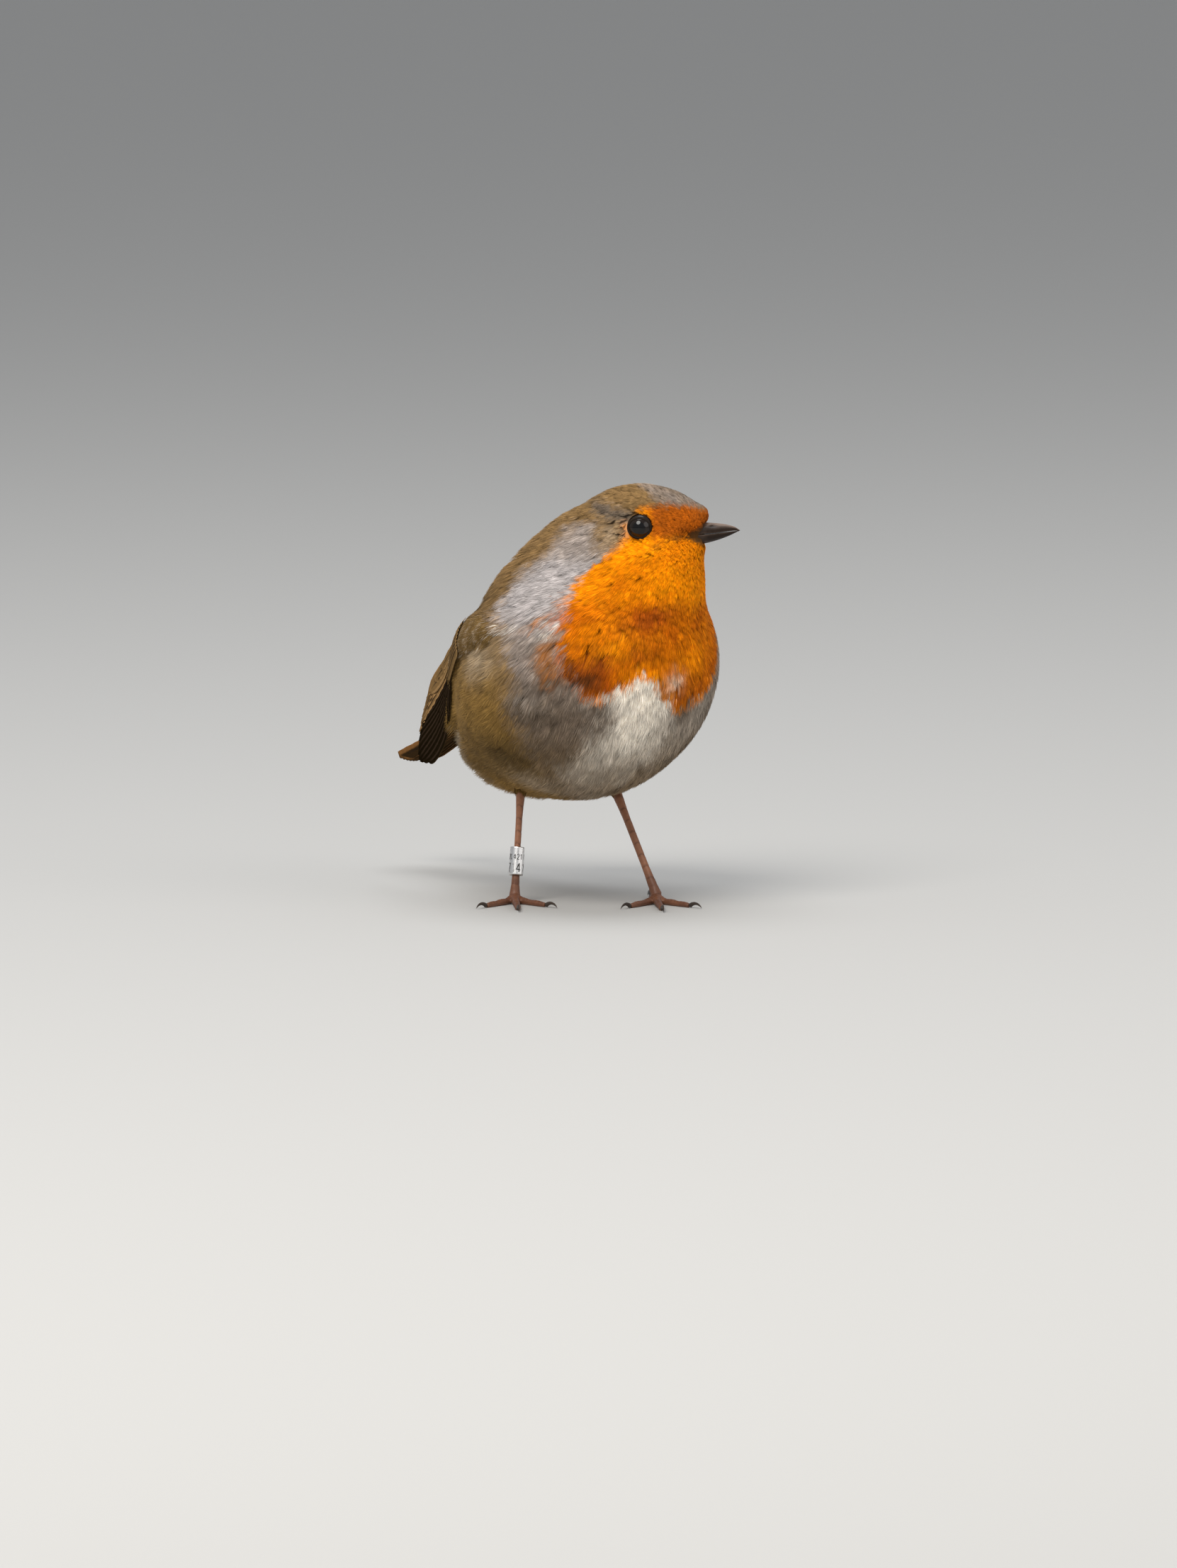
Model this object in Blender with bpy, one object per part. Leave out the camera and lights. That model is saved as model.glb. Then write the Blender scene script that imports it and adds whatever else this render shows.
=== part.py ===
"""European robin, Erithacus rubecula, standing at rest with its head turned to its left: a life-size model.

Metres, +Z up. The trunk points along +X and the bird's left side is +Y. The floor is z = 0, and the origin
is the bottom centre of the bounding box. Every length below is in millimetres and goes through MM.
"""

from math import cos, pi, radians, sin

import bmesh
import bpy
import numpy as np
from mathutils import Matrix, Vector

MM = 0.001
GAP = 0.3  # clearance between neighbouring pieces
HALF_CUT = GAP / 2

# Plumage: lobes of one blended surface. "at" is the centre, "half" the half sizes along, across and up,
# "pitch" lifts the front end and "yaw" turns it to the bird's left, in degrees.
HEAD_AT = (17.0, 5.2, 87.5)
HEAD_YAW = 55
BLEND = 4.5  # how softly two lobes run into each other
PLUMAGE = {
    "trunk": {"at": (0.4, 0, 52.4), "half": (34.8, 29.7, 27.4), "pitch": 30, "yaw": 0},
    "belly": {"at": (-2.8, 0, 46.0), "half": (24.7, 22.0, 20.9), "pitch": 10, "yaw": 0},
    "vent": {"at": (-20, 0, 41.6), "half": (21.4, 21.7, 18.4), "pitch": 18, "yaw": 0},
    "rump": {"at": (-31, 0, 45.6), "half": (26, 8.6, 5.2), "pitch": 21, "yaw": 0},
    "lower_back": {"at": (-23, 0, 51.0), "half": (20, 17, 13.5), "pitch": 36, "yaw": 0},
    "mantle": {"at": (-5.1, 0, 69.5), "half": (20.4, 20.7, 12.9), "pitch": 42, "yaw": 0},
    "nape": {"at": (4.7, 0.2, 72.6), "half": (17.1, 17.3, 17.2), "pitch": 30, "yaw": 15},
    "hindneck": {"at": (7.9, -1.8, 80.9), "half": (10.6, 10.0, 10.4), "pitch": 0, "yaw": HEAD_YAW},
    "bib": {"at": (16.6, 4.9, 75.0), "half": (15.4, 14.9, 16.8), "pitch": 0, "yaw": 35},
    "cranium": {"at": HEAD_AT, "half": (13.7, 8.0, 9.6), "pitch": 0, "yaw": HEAD_YAW},
}
# Lobes given from the head's centre. A hollow is pressed into the surface round each eye.
FACE = {"at": (8.0, 0, -0.8), "half": (7.4, 5.4, 6.6)}
CHEEK = {"at": (-2.6, 3.0, -5.2), "half": (8.4, 5.8, 6.8)}
EYE_HOLLOW = {"at": (1.1, 11.95, 0.0), "half": (5.0, 3.1, 4.6), "blend": 1.6}
PLUMAGE_CUTS = 10  # each edge of a twenty-faced ball is cut this often
# Points crowd towards these places: strength and reach.
PULLS = ((HEAD_AT, 1.6, 24.0), ((-47.0, 0, 39.5), 9.0, 12.0))

# Where the plumage is parted into nodes: a point on each cut and the direction towards the head.
NECK_CUT = {"at": (5, 0.5, 70.5), "towards": (0.42, 0.08, 0.90)}
HEAD_CUT = {"at": (11, 3.0, 79.5), "towards": (0.36, 0.30, 0.88)}
TAIL_CUT = {"at": (-46.5, 0, 39.8), "towards": (0.943, 0, 0.332)}

EYE_RADIUS = 3.1
EYE_AT = {"ahead": 1.1, "beside": 7.45, "above": 0.0}  # from the head's centre

# Bill: from the gape, hidden in the face feathers, to the tip.
BILL_START = 8.1  # gape, ahead of the head's centre
BILL_LENGTH = 14.6
BILL_HALF_WIDTH = 4.0  # at the gape
BILL_UPPER = 2.35  # height of the upper mandible at its base
BILL_LOWER = 2.4
BILL_SLIT = 0.16  # half the gap between the mandibles
BILL_DROP = 2.15  # the gape below the head's centre
BILL_RISE = 0.45  # the tip above the gape

# Legs. A robin's tarsus is 25 to 26 mm long.
LEGS = {
    "right": {"ankle": (-11.6, -10.5, 27.0), "foot": (-7.3, -14.3, 2.3)},
    "left": {"ankle": (-5.1, 10.0, 25.6), "foot": (8.0, 13.9, 2.3)},
}
TARSUS_HALF = (0.76, 0.95)  # half thickness across and fore and aft
FOOT_HEADING = {"right": -24, "left": -22}  # degrees from +X: the feet point outside the trunk's line
TOE_STUB = 1.9  # the foot's own length of shank above the toes
TOES = {
    "inner": {"turn": 38, "length": 10.6, "radius": 0.86, "joints": 2, "claw": 4.4},
    "middle": {"turn": 0, "length": 14.4, "radius": 0.95, "joints": 3, "claw": 5.0},
    "outer": {"turn": -38, "length": 11.0, "radius": 0.86, "joints": 3, "claw": 4.4},
    "hind": {"turn": 178, "length": 8.6, "radius": 0.98, "joints": 1, "claw": 6.4},
}
TOE_TIP_SHARE = 0.66  # a toe's thickness at its end
KNUCKLE = 0.16  # how far a joint swells, as a share of the radius
SOLE_SINK = 0.12  # how far the round underside is planed flat, as a share of the radius
CLAW_RADIUS = 0.5
CLAW_RISE = 34  # degrees: a claw leaves the toe upwards and curls to the floor
CLAW_DROP = 54
CLAW_CLEAR = 0.12  # claw tips above the floor

RING = {"inner": 1.3, "outer": 1.64, "height": 6.4, "above_floor": 6.3}

# Folded wings, drooped a little. Each station along the wrist-to-tip line gives how far the feathers that
# show reach below and above it in side view, and how far they stand from the middle plane.
WING_WRIST = (8.0, 65.0)  # x and z
WING_TIP = (-51.5, 28.8)
WING_STATIONS = (  # share of the length, below, above, stand
    (0.00, 1.8, 3.6, 24.6),
    (0.10, 0.8, 7.8, 24.4),
    (0.22, -0.8, 10.8, 24.0),
    (0.34, -1.6, 12.5, 23.2),
    (0.48, 1.8, 13.4, 22.6),
    (0.60, 6.2, 13.0, 21.9),
    (0.72, 8.0, 11.0, 21.0),
    (0.86, 5.2, 7.4, 19.4),
    (1.00, 0.7, 0.8, 17.0),
)
WING_LEAN = 3.6  # how far the trailing edge leans in over the back, at its most
WING_THICK = (2.0, 0.8)  # at the coverts and at the quill tips
WING_GRID = (27, 7)

# Tail: twelve feathers lying as one slim stack.
TAIL_TIP = (-84.0, 0, 25.9)
TAIL_HALF_WIDTH = (5.6, 7.0)  # at the coverts and near the tip
TAIL_THICK = (2.2, 0.9)
TAIL_CAMBER = -1.2  # the outer feathers lie a little higher than the middle
TAIL_NOTCH = 1.6
TAIL_GRID = (13, 7)

COLOURS = {  # base colour, roughness, metallic
    "plumage_orange": ((0.72, 0.22, 0.02), 0.9, 0.0),
    "plumage_grey": ((0.42, 0.41, 0.38), 0.9, 0.0),
    "quill_brown": ((0.11, 0.075, 0.045), 0.7, 0.0),
    "bill_horn": ((0.06, 0.05, 0.045), 0.4, 0.0),
    "eye_dark": ((0.012, 0.008, 0.006), 0.08, 0.0),
    "leg_skin": ((0.20, 0.085, 0.05), 0.55, 0.0),
    "claw_horn": ((0.07, 0.045, 0.03), 0.4, 0.0),
    "ring_metal": ((0.75, 0.75, 0.73), 0.35, 1.0),
}


def clear_scene():
    for old in list(bpy.data.objects):
        bpy.data.objects.remove(old, do_unlink=True)


def material(name):
    found = bpy.data.materials.get(name)
    if found:
        return found
    colour, roughness, metallic = COLOURS[name]
    made = bpy.data.materials.new(name)
    made.use_nodes = True
    shader = made.node_tree.nodes["Principled BSDF"]
    shader.inputs["Base Color"].default_value = (*colour, 1.0)
    shader.inputs["Roughness"].default_value = roughness
    shader.inputs["Metallic"].default_value = metallic
    return made


def add_mesh(name, points, faces, finish, helper=False):
    """An object from points in millimetres; a helper is only used by other objects' modifiers."""
    work = bmesh.new()
    corners = [work.verts.new([MM * float(c) for c in p]) for p in points]
    for face in faces:
        work.faces.new([corners[i] for i in face])
    bmesh.ops.recalc_face_normals(work, faces=work.faces[:])
    mesh = bpy.data.meshes.new(name)
    work.to_mesh(mesh)
    work.free()
    mesh.shade_smooth()
    made = bpy.data.objects.new(name, mesh)
    bpy.context.scene.collection.objects.link(made)
    mesh.materials.append(material(finish))
    if helper:
        made.hide_render = True
        made.display_type = "WIRE"
    return made


def boolean(target, cutter, operation):
    modifier = target.modifiers.new(cutter.name, "BOOLEAN")
    modifier.object = cutter
    modifier.operation = operation
    modifier.solver = "EXACT"


# --- the blended plumage surface ------------------------------------------------------------------


def turn(pitch, yaw):
    """Columns are the forward, left and up directions of something pitched up and yawed left."""
    return np.array(
        Matrix.Rotation(radians(yaw), 3, "Z") @ Matrix.Rotation(-radians(pitch), 3, "Y")
    )


HEAD_AXES = turn(0, HEAD_YAW)


def from_head(ahead, left, above):
    """A point given from the head's centre, in the head's own directions."""
    return np.array(HEAD_AT) + HEAD_AXES @ np.array((ahead, left, above))


def lobe(at, half, axes):
    return np.array(at, float), np.array(half, float), axes


def head_lobe(shape, side=1):
    ahead, left, above = shape["at"]
    return lobe(from_head(ahead, side * left, above), shape["half"], HEAD_AXES)


LOBES = [lobe(p["at"], p["half"], turn(p["pitch"], p["yaw"])) for p in PLUMAGE.values()]
LOBES += [head_lobe(FACE), head_lobe(CHEEK, 1), head_lobe(CHEEK, -1)]
HOLLOWS = [head_lobe(EYE_HOLLOW, 1), head_lobe(EYE_HOLLOW, -1)]


def outside_lobe(points, shape):
    """About how far each point is outside one lobe, in millimetres; negative inside."""
    centre, half, axes = shape
    local = (points - centre) @ axes
    to_shell = np.linalg.norm(local / half, axis=1) + 1e-9
    slope = np.linalg.norm(local / half**2, axis=1) + 1e-9
    return to_shell * (to_shell - 1) / slope


def outside_plumage(points):
    """About how far each point is outside the plumage: softly joined lobes, less the eye hollows."""
    joined = np.full(len(points), 1e3)
    for shape in LOBES:
        distance = outside_lobe(points, shape)
        near = np.clip(BLEND - np.abs(joined - distance), 0, None)
        joined = np.minimum(joined, distance) - near**2 / (4 * BLEND)
    for shape in HOLLOWS:
        pressed = -outside_lobe(points, shape)
        near = np.clip(EYE_HOLLOW["blend"] - np.abs(joined - pressed), 0, None)
        joined = np.maximum(joined, pressed) + near**2 / (4 * EYE_HOLLOW["blend"])
    return joined


def plumage_slope(points, step=0.05):
    rows = []
    for axis in np.eye(3):
        rows.append(outside_plumage(points + step * axis) - outside_plumage(points - step * axis))
    return np.stack(rows, axis=1) / (2 * step)


def cast_to_plumage(start, directions, reach=90.0, steps=26):
    """Distance from start to the surface along each direction, by bisection."""
    near, far = np.zeros(len(directions)), np.full(len(directions), reach)
    for _ in range(steps):
        middle = (near + far) / 2
        inside = outside_plumage(start + directions * middle[:, None]) < 0
        near, far = np.where(inside, middle, near), np.where(inside, far, middle)
    return near


def plumage_mesh():
    """The body's outer surface: a ball of even triangles, cast onto the lobes and relaxed along them."""
    ball = bmesh.new()
    bmesh.ops.create_icosphere(ball, subdivisions=1, radius=1.0)
    bmesh.ops.subdivide_edges(ball, edges=ball.edges[:], cuts=PLUMAGE_CUTS, use_grid_fill=True)
    bmesh.ops.triangulate(ball, faces=ball.faces[:])
    ball.verts.ensure_lookup_table()
    directions = np.array([v.co.normalized()[:] for v in ball.verts])
    edges = np.array([[v.index for v in e.verts] for e in ball.edges])
    faces = [[v.index for v in f.verts] for f in ball.faces]
    ball.free()
    start = np.array((12.0, 2.5, 71.0))
    points = start + directions * cast_to_plumage(start, directions)[:, None]
    for _ in range(40):
        weight = np.ones(len(points))
        for at, strength, reach in PULLS:
            weight += strength * np.exp(-((np.linalg.norm(points - np.array(at), axis=1) / reach) ** 2))
        drawn, share = np.zeros_like(points), np.zeros(len(points))
        for a, b in ((0, 1), (1, 0)):
            np.add.at(drawn, edges[:, a], points[edges[:, b]] * weight[edges[:, b], None])
            np.add.at(share, edges[:, a], weight[edges[:, b]])
        points = points + 0.6 * (drawn / share[:, None] - points)
        for _ in range(2):
            slope = plumage_slope(points)
            outside = outside_plumage(points)
            points = points - (outside / (slope**2).sum(1))[:, None] * slope
    return points, faces


def sliced(points, faces, cuts):
    """The part of the body on the kept side of each cut (point, normal pointing away), closed again."""
    work = bmesh.new()
    corners = [work.verts.new(Vector(p)) for p in points]
    for face in faces:
        work.faces.new([corners[i] for i in face])
    for at, away in cuts:
        everything = list(work.verts) + list(work.edges) + list(work.faces)
        made = bmesh.ops.bisect_plane(
            work, geom=everything, plane_co=Vector(at), plane_no=Vector(away), clear_outer=True, dist=1e-4
        )
        rim = [e for e in made["geom_cut"] if isinstance(e, bmesh.types.BMEdge)]
        bmesh.ops.edgeloop_fill(work, edges=rim)
    bmesh.ops.triangulate(work, faces=[f for f in work.faces if len(f.verts) > 4])
    work.verts.index_update()
    kept = [v.co[:] for v in work.verts], [[v.index for v in f.verts] for f in work.faces]
    work.free()
    return kept


def cut_side(cut, sign):
    """The plane of a cut, moved half the gap to the kept side; sign is +1 where the head's side is kept."""
    towards = Vector(cut["towards"]).normalized()
    return Vector(cut["at"]) + sign * HALF_CUT * towards, -sign * towards


def body_pieces():
    points, faces = plumage_mesh()
    parts = {
        "trunk": ([cut_side(NECK_CUT, -1), cut_side(TAIL_CUT, 1)], "plumage_grey"),
        "neck": ([cut_side(NECK_CUT, 1), cut_side(HEAD_CUT, -1)], "plumage_orange"),
        "head": ([cut_side(HEAD_CUT, 1)], "plumage_orange"),
    }
    return {
        name: add_mesh(name, *sliced(points, faces, cuts), finish) for name, (cuts, finish) in parts.items()
    }


# --- lofted pieces --------------------------------------------------------------------------------


def loft(rings):
    """Points and faces of a closed body through rings of equal size, with a fan at each end."""
    count = len(rings[0])
    points = [p for ring in rings for p in ring]
    faces = []
    for k in range(len(rings) - 1):
        for i in range(count):
            j = (i + 1) % count
            faces.append((k * count + i, k * count + j, (k + 1) * count + j, (k + 1) * count + i))
    for ring, flip in ((0, True), (len(rings) - 1, False)):
        hub = len(points)
        points.append(np.mean(rings[ring], axis=0))
        for i in range(count):
            j = (i + 1) % count
            face = (ring * count + i, ring * count + j, hub)
            faces.append(face[::-1] if flip else face)
    return points, faces


def tube(path, halves, sides=8):
    """A tube along the path's points; halves gives (across, up) half sizes at each."""
    path = [np.array(p, float) for p in path]
    rings = []
    for i, point in enumerate(path):
        ahead = path[min(i + 1, len(path) - 1)] - path[max(i - 1, 0)]
        ahead /= np.linalg.norm(ahead)
        side = np.cross((0.0, 0.0, 1.0), ahead)
        if np.linalg.norm(side) < 0.2:
            side = np.array((0.0, 1.0, 0.0))
        side = side - ahead * (side @ ahead)
        side /= np.linalg.norm(side)
        up = np.cross(ahead, side)
        across, high = halves[i]
        angles = [2 * pi * k / sides for k in range(sides)]
        rings.append([point + side * across * cos(a) + up * high * sin(a) for a in angles])
    return loft(rings)


def ball(centre, radius, segments=16, rows=9):
    rings = []
    for r in range(1, rows):
        tilt = pi * r / rows
        height, width = -radius * cos(tilt), radius * sin(tilt)
        turns = [2 * pi * i / segments for i in range(segments)]
        rings.append([np.array(centre) + (width * cos(t), width * sin(t), height) for t in turns])
    points, faces = loft(rings)
    points[-2], points[-1] = np.array(centre) - (0, 0, radius), np.array(centre) + (0, 0, radius)
    return points, faces


# --- head -----------------------------------------------------------------------------------------


def add_eyes(head):
    for side, sign in (("left", 1), ("right", -1)):
        centre = from_head(EYE_AT["ahead"], sign * EYE_AT["beside"], EYE_AT["above"])
        add_mesh(f"eye_{side}", *ball(centre, EYE_RADIUS), "eye_dark")
        socket = add_mesh(f"socket_{side}", *ball(centre, EYE_RADIUS + GAP), "eye_dark", helper=True)
        boolean(head, socket, "DIFFERENCE")


def bill_half(which, grow=0.0, stations=9, sides=6):
    """One mandible as a half-round loft: flat at the cutting edge, vaulted and narrowing to the tip."""
    sign, height = (1, BILL_UPPER) if which == "upper" else (-1, BILL_LOWER)
    rings = []
    for k in range(stations):
        t = k / (stations - 1)
        ahead = BILL_START + BILL_LENGTH * t * (1 if which == "upper" else 0.985)
        narrowing = (1 - t) ** 1.35 * 0.62 + (1 - t) ** 0.5 * 0.38
        half_width = max(BILL_HALF_WIDTH * narrowing * (0.98 if which == "lower" else 1.0), 0.16)
        vault = (1 - t**2.6) ** 0.8 if which == "upper" else (1 - t**2.0) ** 0.85
        depth = max(height * vault, 0.16)
        tomium = -BILL_DROP + BILL_RISE * t - 0.25 * sin(pi * t) + sign * BILL_SLIT
        if which == "upper" and t > 0.9:
            tomium -= 0.18 * (t - 0.9) / 0.1
        ring = []
        for i in range(sides + 1):
            a = pi * i / sides
            across = (half_width + grow) * cos(a)
            above = tomium - sign * grow + sign * (depth + 2 * grow) * abs(sin(a)) ** 0.9
            ring.append(from_head(ahead + (grow if k == stations - 1 else 0), across, above))
        rings.append(ring)
    return loft(rings)


def add_bill(head):
    for which in ("upper", "lower"):
        add_mesh(f"bill_{which}", *bill_half(which), "bill_horn")
        pocket = add_mesh(f"pocket_{which}", *bill_half(which, grow=GAP), "bill_horn", helper=True)
        boolean(head, pocket, "DIFFERENCE")


# --- wings and tail -------------------------------------------------------------------------------


def body_half_width(x, z, sign):
    """Distance from the middle plane to the plumage at each (x, z), or 0 where the body isn't reached."""
    start = np.stack([x, np.zeros_like(x), z], axis=1)
    reach = cast_to_plumage(start, np.tile((0.0, float(sign), 0.0), (len(x), 1)), reach=45.0)
    return np.where(outside_plumage(start) < 0, reach, 0.0)


def wing_outline(share):
    """The stations' columns at each share of the length, with their corners eased."""
    fine = np.linspace(0, 1, 201)
    stations = np.array(WING_STATIONS).T
    columns = []
    for column in stations[1:]:
        eased = np.pad(np.interp(fine, stations[0], column), 9, mode="reflect", reflect_type="odd")
        eased = np.convolve(eased, np.hanning(21)[1:-1] / np.hanning(21).sum(), mode="valid")
        columns.append(np.interp(share, fine, eased))
    return columns


def wing_sheet(sign):
    """Inner and outer points of a folded wing: it hugs the body, leans over the back and is free behind."""
    along, across = WING_GRID
    wrist, tip = np.array(WING_WRIST), np.array(WING_TIP)
    line = tip - wrist
    upwards = np.array((line[1], -line[0])) / np.linalg.norm(line)
    share = np.linspace(0, 1, along)
    below, above, stand = wing_outline(share)
    u, v = np.meshgrid(share, np.linspace(0, 1, across), indexing="ij")
    reach = (v * (above + below)[:, None]) - below[:, None]
    flat = wrist + u[..., None] * line + reach[..., None] * upwards
    x, z = flat[..., 0].ravel(), flat[..., 1].ravel()
    u, v = u.ravel(), v.ravel()
    free = np.repeat(stand, across) - WING_LEAN * np.sin(pi * u) * v**1.6
    hugging = body_half_width(x, z, sign) + GAP + 0.12
    soft = 0.8
    inner = soft * np.log(np.exp(free / soft) + np.exp(hugging / soft))
    thick = WING_THICK[0] + (WING_THICK[1] - WING_THICK[0]) * np.clip(u * 1.5, 0, 1)
    edge = 1 - 0.5 * (2 * v - 1) ** 4
    outer = inner + np.maximum(thick * edge * np.clip(u / 0.08, 0.3, 1), 0.55)
    shape = (along, across, 3)
    inside = np.stack([x, sign * inner, z], axis=1).reshape(shape)
    outside = np.stack([x, sign * outer, z], axis=1).reshape(shape)
    return inside, outside


def slab(inside, outside):
    """A closed body between two equal grids of points."""
    rows, columns = inside.shape[:2]
    points = list(inside.reshape(-1, 3)) + list(outside.reshape(-1, 3))
    over = rows * columns
    faces = []
    for i in range(rows - 1):
        for j in range(columns - 1):
            a, b = i * columns + j, (i + 1) * columns + j
            faces.append((a, a + 1, b + 1, b))
            faces.append((over + a, over + b, over + b + 1, over + a + 1))
    rim = [(i, 0) for i in range(rows)] + [(rows - 1, j) for j in range(1, columns)]
    rim += [(i, columns - 1) for i in range(rows - 2, -1, -1)] + [(0, j) for j in range(columns - 2, 0, -1)]
    ids = [i * columns + j for i, j in rim]
    for a, b in zip(ids, ids[1:] + ids[:1]):
        faces.append((a, b, over + b, over + a))
    return points, faces


def add_wings():
    for side, sign in (("left", 1), ("right", -1)):
        add_mesh(f"wing_{side}", *slab(*wing_sheet(sign)), "quill_brown")


def add_tail():
    """A long slab, a little hollow above, from the trunk's last cut to a shallow notch at the tip."""
    towards = np.array(Vector(TAIL_CUT["towards"]).normalized())
    root = np.array(TAIL_CUT["at"], float) - HALF_CUT * towards
    tip = np.array(TAIL_TIP, float)
    up = np.array((-towards[2], 0, towards[0]))
    rows, columns = TAIL_GRID
    below, above = np.zeros((rows, columns, 3)), np.zeros((rows, columns, 3))
    for i in range(rows):
        t = i / (rows - 1)
        half = TAIL_HALF_WIDTH[0] + (TAIL_HALF_WIDTH[1] - TAIL_HALF_WIDTH[0]) * min(t / 0.8, 1)
        thick = TAIL_THICK[1] + (TAIL_THICK[0] - TAIL_THICK[1]) * max(1 - t / 0.45, 0)
        for j in range(columns):
            w = 2 * j / (columns - 1) - 1
            rounded = (1 - 0.22 * max(t - 0.92, 0) / 0.08 * abs(w) ** 3)
            notch = TAIL_NOTCH * (1 - abs(w)) * t**6
            end_round = 1.8 * abs(w) ** 4 * t**6
            middle = root + (tip - root) * t + towards * (notch + end_round) - up * TAIL_CAMBER * w * w
            middle = middle + np.array((0, w * half * rounded, 0))
            edge = thick / 2 * (1 - 0.35 * w**4)
            below[i, j], above[i, j] = middle - up * edge, middle + up * edge
    add_mesh("tail", *slab(below, above), "quill_brown")


# --- legs -----------------------------------------------------------------------------------------


def leg_frame(side):
    """The foot's joint, the direction up the shank, and the length of shank that shows below the belly."""
    foot = np.array(LEGS[side]["foot"])
    up = np.array(LEGS[side]["ankle"]) - foot
    length = np.linalg.norm(up)
    up = up / length
    steps = np.linspace(5, length + 6, 400)
    outside = outside_plumage(foot + up * steps[:, None])
    return foot, up, float(steps[np.argmax(outside < GAP + 0.25)])


def add_tarsus(side):
    foot, up, shown = leg_frame(side)
    across, deep = TARSUS_HALF
    heights = np.linspace(TOE_STUB + GAP, shown, 9)
    path, halves = [], []
    for h in heights:
        low, high = np.exp(-((h - heights[0]) / 2.4) ** 2), np.exp(-((shown - h) / 3.0) ** 2)
        swell = 1 + 0.30 * low + 0.42 * high
        path.append(foot + up * h)
        halves.append((across * swell, deep * swell))
    add_mesh(f"tarsus_{side}", *tube(path, halves, sides=10), "leg_skin")


def toe_height(radius):
    return radius * (1 - SOLE_SINK)


def toe_path(side, toe, stations=10):
    """Points and radii from the foot's joint out along one toe, resting on the floor."""
    foot = np.array(LEGS[side]["foot"])
    mirror = 1 if side == "right" else -1
    heading = radians(FOOT_HEADING[side] + mirror * toe["turn"])
    ahead = np.array((cos(heading), sin(heading), 0.0))
    path, radii = [], []
    for k in range(stations):
        t = k / (stations - 1)
        radius = toe["radius"] * (1 + (TOE_TIP_SHARE - 1) * t)
        radius *= 1 + KNUCKLE * (0.5 - 0.5 * cos(2 * pi * t * toe["joints"]))
        rise = (foot[2] - toe_height(radius)) * (1 - min(t / 0.24, 1)) ** 2
        at = foot + ahead * toe["length"] * t
        at[2] = toe_height(radius) + rise
        path.append(at)
        radii.append(radius)
    return path, radii, ahead


def add_foot(side, floor_cut):
    """Hub, shank stub and four toes joined into one body and planed flat underneath."""
    foot, up, _ = leg_frame(side)
    hub_path = [foot - up * 0.9, foot - up * 0.3, foot + up * 0.6, foot + up * TOE_STUB]
    across, deep = TARSUS_HALF
    hub_halves = [(0.7, 0.8), (1.3, 1.4), (1.15, 1.3), (across * 1.3, deep * 1.3)]
    foot_object = add_mesh(f"foot_{side}", *tube(hub_path, hub_halves, sides=10), "leg_skin")
    for name, toe in TOES.items():
        path, radii, _ = toe_path(side, toe)
        made = add_mesh(f"toe_{side}_{name}", *tube(path, [(r, r) for r in radii]), "leg_skin", helper=True)
        boolean(foot_object, made, "UNION")
    boolean(foot_object, floor_cut, "DIFFERENCE")


def add_claws(side):
    """Each claw leaves its toe upwards, arches over and comes down to just above the floor."""
    for name, toe in TOES.items():
        path, radii, ahead = toe_path(side, toe)
        start = path[-1] + ahead * GAP
        rise, drop = radians(CLAW_RISE), radians(CLAW_DROP)
        bend = toe["claw"] / (rise + drop)
        fall = bend * (cos(rise) - cos(drop))
        lift = start[2] - fall - CLAW_CLEAR
        claw_path, halves = [], []
        for k in range(7):
            t = k / 6
            angle = rise - (rise + drop) * t
            out = bend * (sin(rise) - sin(angle))
            high = bend * (cos(angle) - cos(rise))
            at = start + ahead * out + np.array((0, 0, high - lift * t))
            size = CLAW_RADIUS * (1 - t) ** 0.8 + 0.07
            claw_path.append(at)
            halves.append((size * 0.8, size))
        add_mesh(f"claw_{side}_{name}", *tube(claw_path, halves, sides=6), "claw_horn")


def add_ring():
    """The bird ringer's plain metal band, loose round the right shank."""
    foot, up, _ = leg_frame("right")
    start = foot + up * ((RING["above_floor"] - foot[2]) / up[2])
    side = np.cross(up, (1.0, 0.0, 0.0))
    side /= np.linalg.norm(side)
    front = np.cross(side, up)
    inner, outer, height, ease = RING["inner"], RING["outer"], RING["height"], 0.08
    section = [
        (inner, ease), (inner + ease, 0), (outer - ease, 0), (outer, ease),
        (outer, height - ease), (outer - ease, height), (inner + ease, height), (inner, height - ease),
    ]
    turns, points, faces = 24, [], []
    for i in range(turns):
        a = 2 * pi * i / turns
        spoke = side * cos(a) + front * sin(a)
        points += [start + spoke * r + up * h for r, h in section]
    count = len(section)
    for i in range(turns):
        j = (i + 1) % turns
        for k in range(count):
            m = (k + 1) % count
            faces.append((i * count + k, j * count + k, j * count + m, i * count + m))
    add_mesh("leg_ring", points, faces, "ring_metal")


def centre_on_floor():
    """Moves everything sideways so that the origin is the bottom centre of the bounding box."""
    bpy.context.view_layer.update()
    shown = [o for o in bpy.context.scene.objects if not o.hide_render]
    corners = [o.matrix_world @ v.co for o in shown for v in o.data.vertices]
    middle = [(min(c[k] for c in corners) + max(c[k] for c in corners)) / 2 for k in range(2)]
    for each in bpy.context.scene.objects:
        each.location = (-middle[0], -middle[1], 0)


def main():
    clear_scene()
    body = body_pieces()
    add_eyes(body["head"])
    add_bill(body["head"])
    add_wings()
    add_tail()
    block = [(x, y, z) for x in (-60, 60) for y in (-60, 60) for z in (-20, 0)]
    sides = [(0, 1, 3, 2), (4, 6, 7, 5), (0, 4, 5, 1), (2, 3, 7, 6), (0, 2, 6, 4), (1, 5, 7, 3)]
    floor_cut = add_mesh("floor_cut", block, sides, "leg_skin", helper=True)
    for side in LEGS:
        add_tarsus(side)
        add_foot(side, floor_cut)
        add_claws(side)
    add_ring()
    centre_on_floor()


main()
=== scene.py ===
from types import SimpleNamespace

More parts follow.
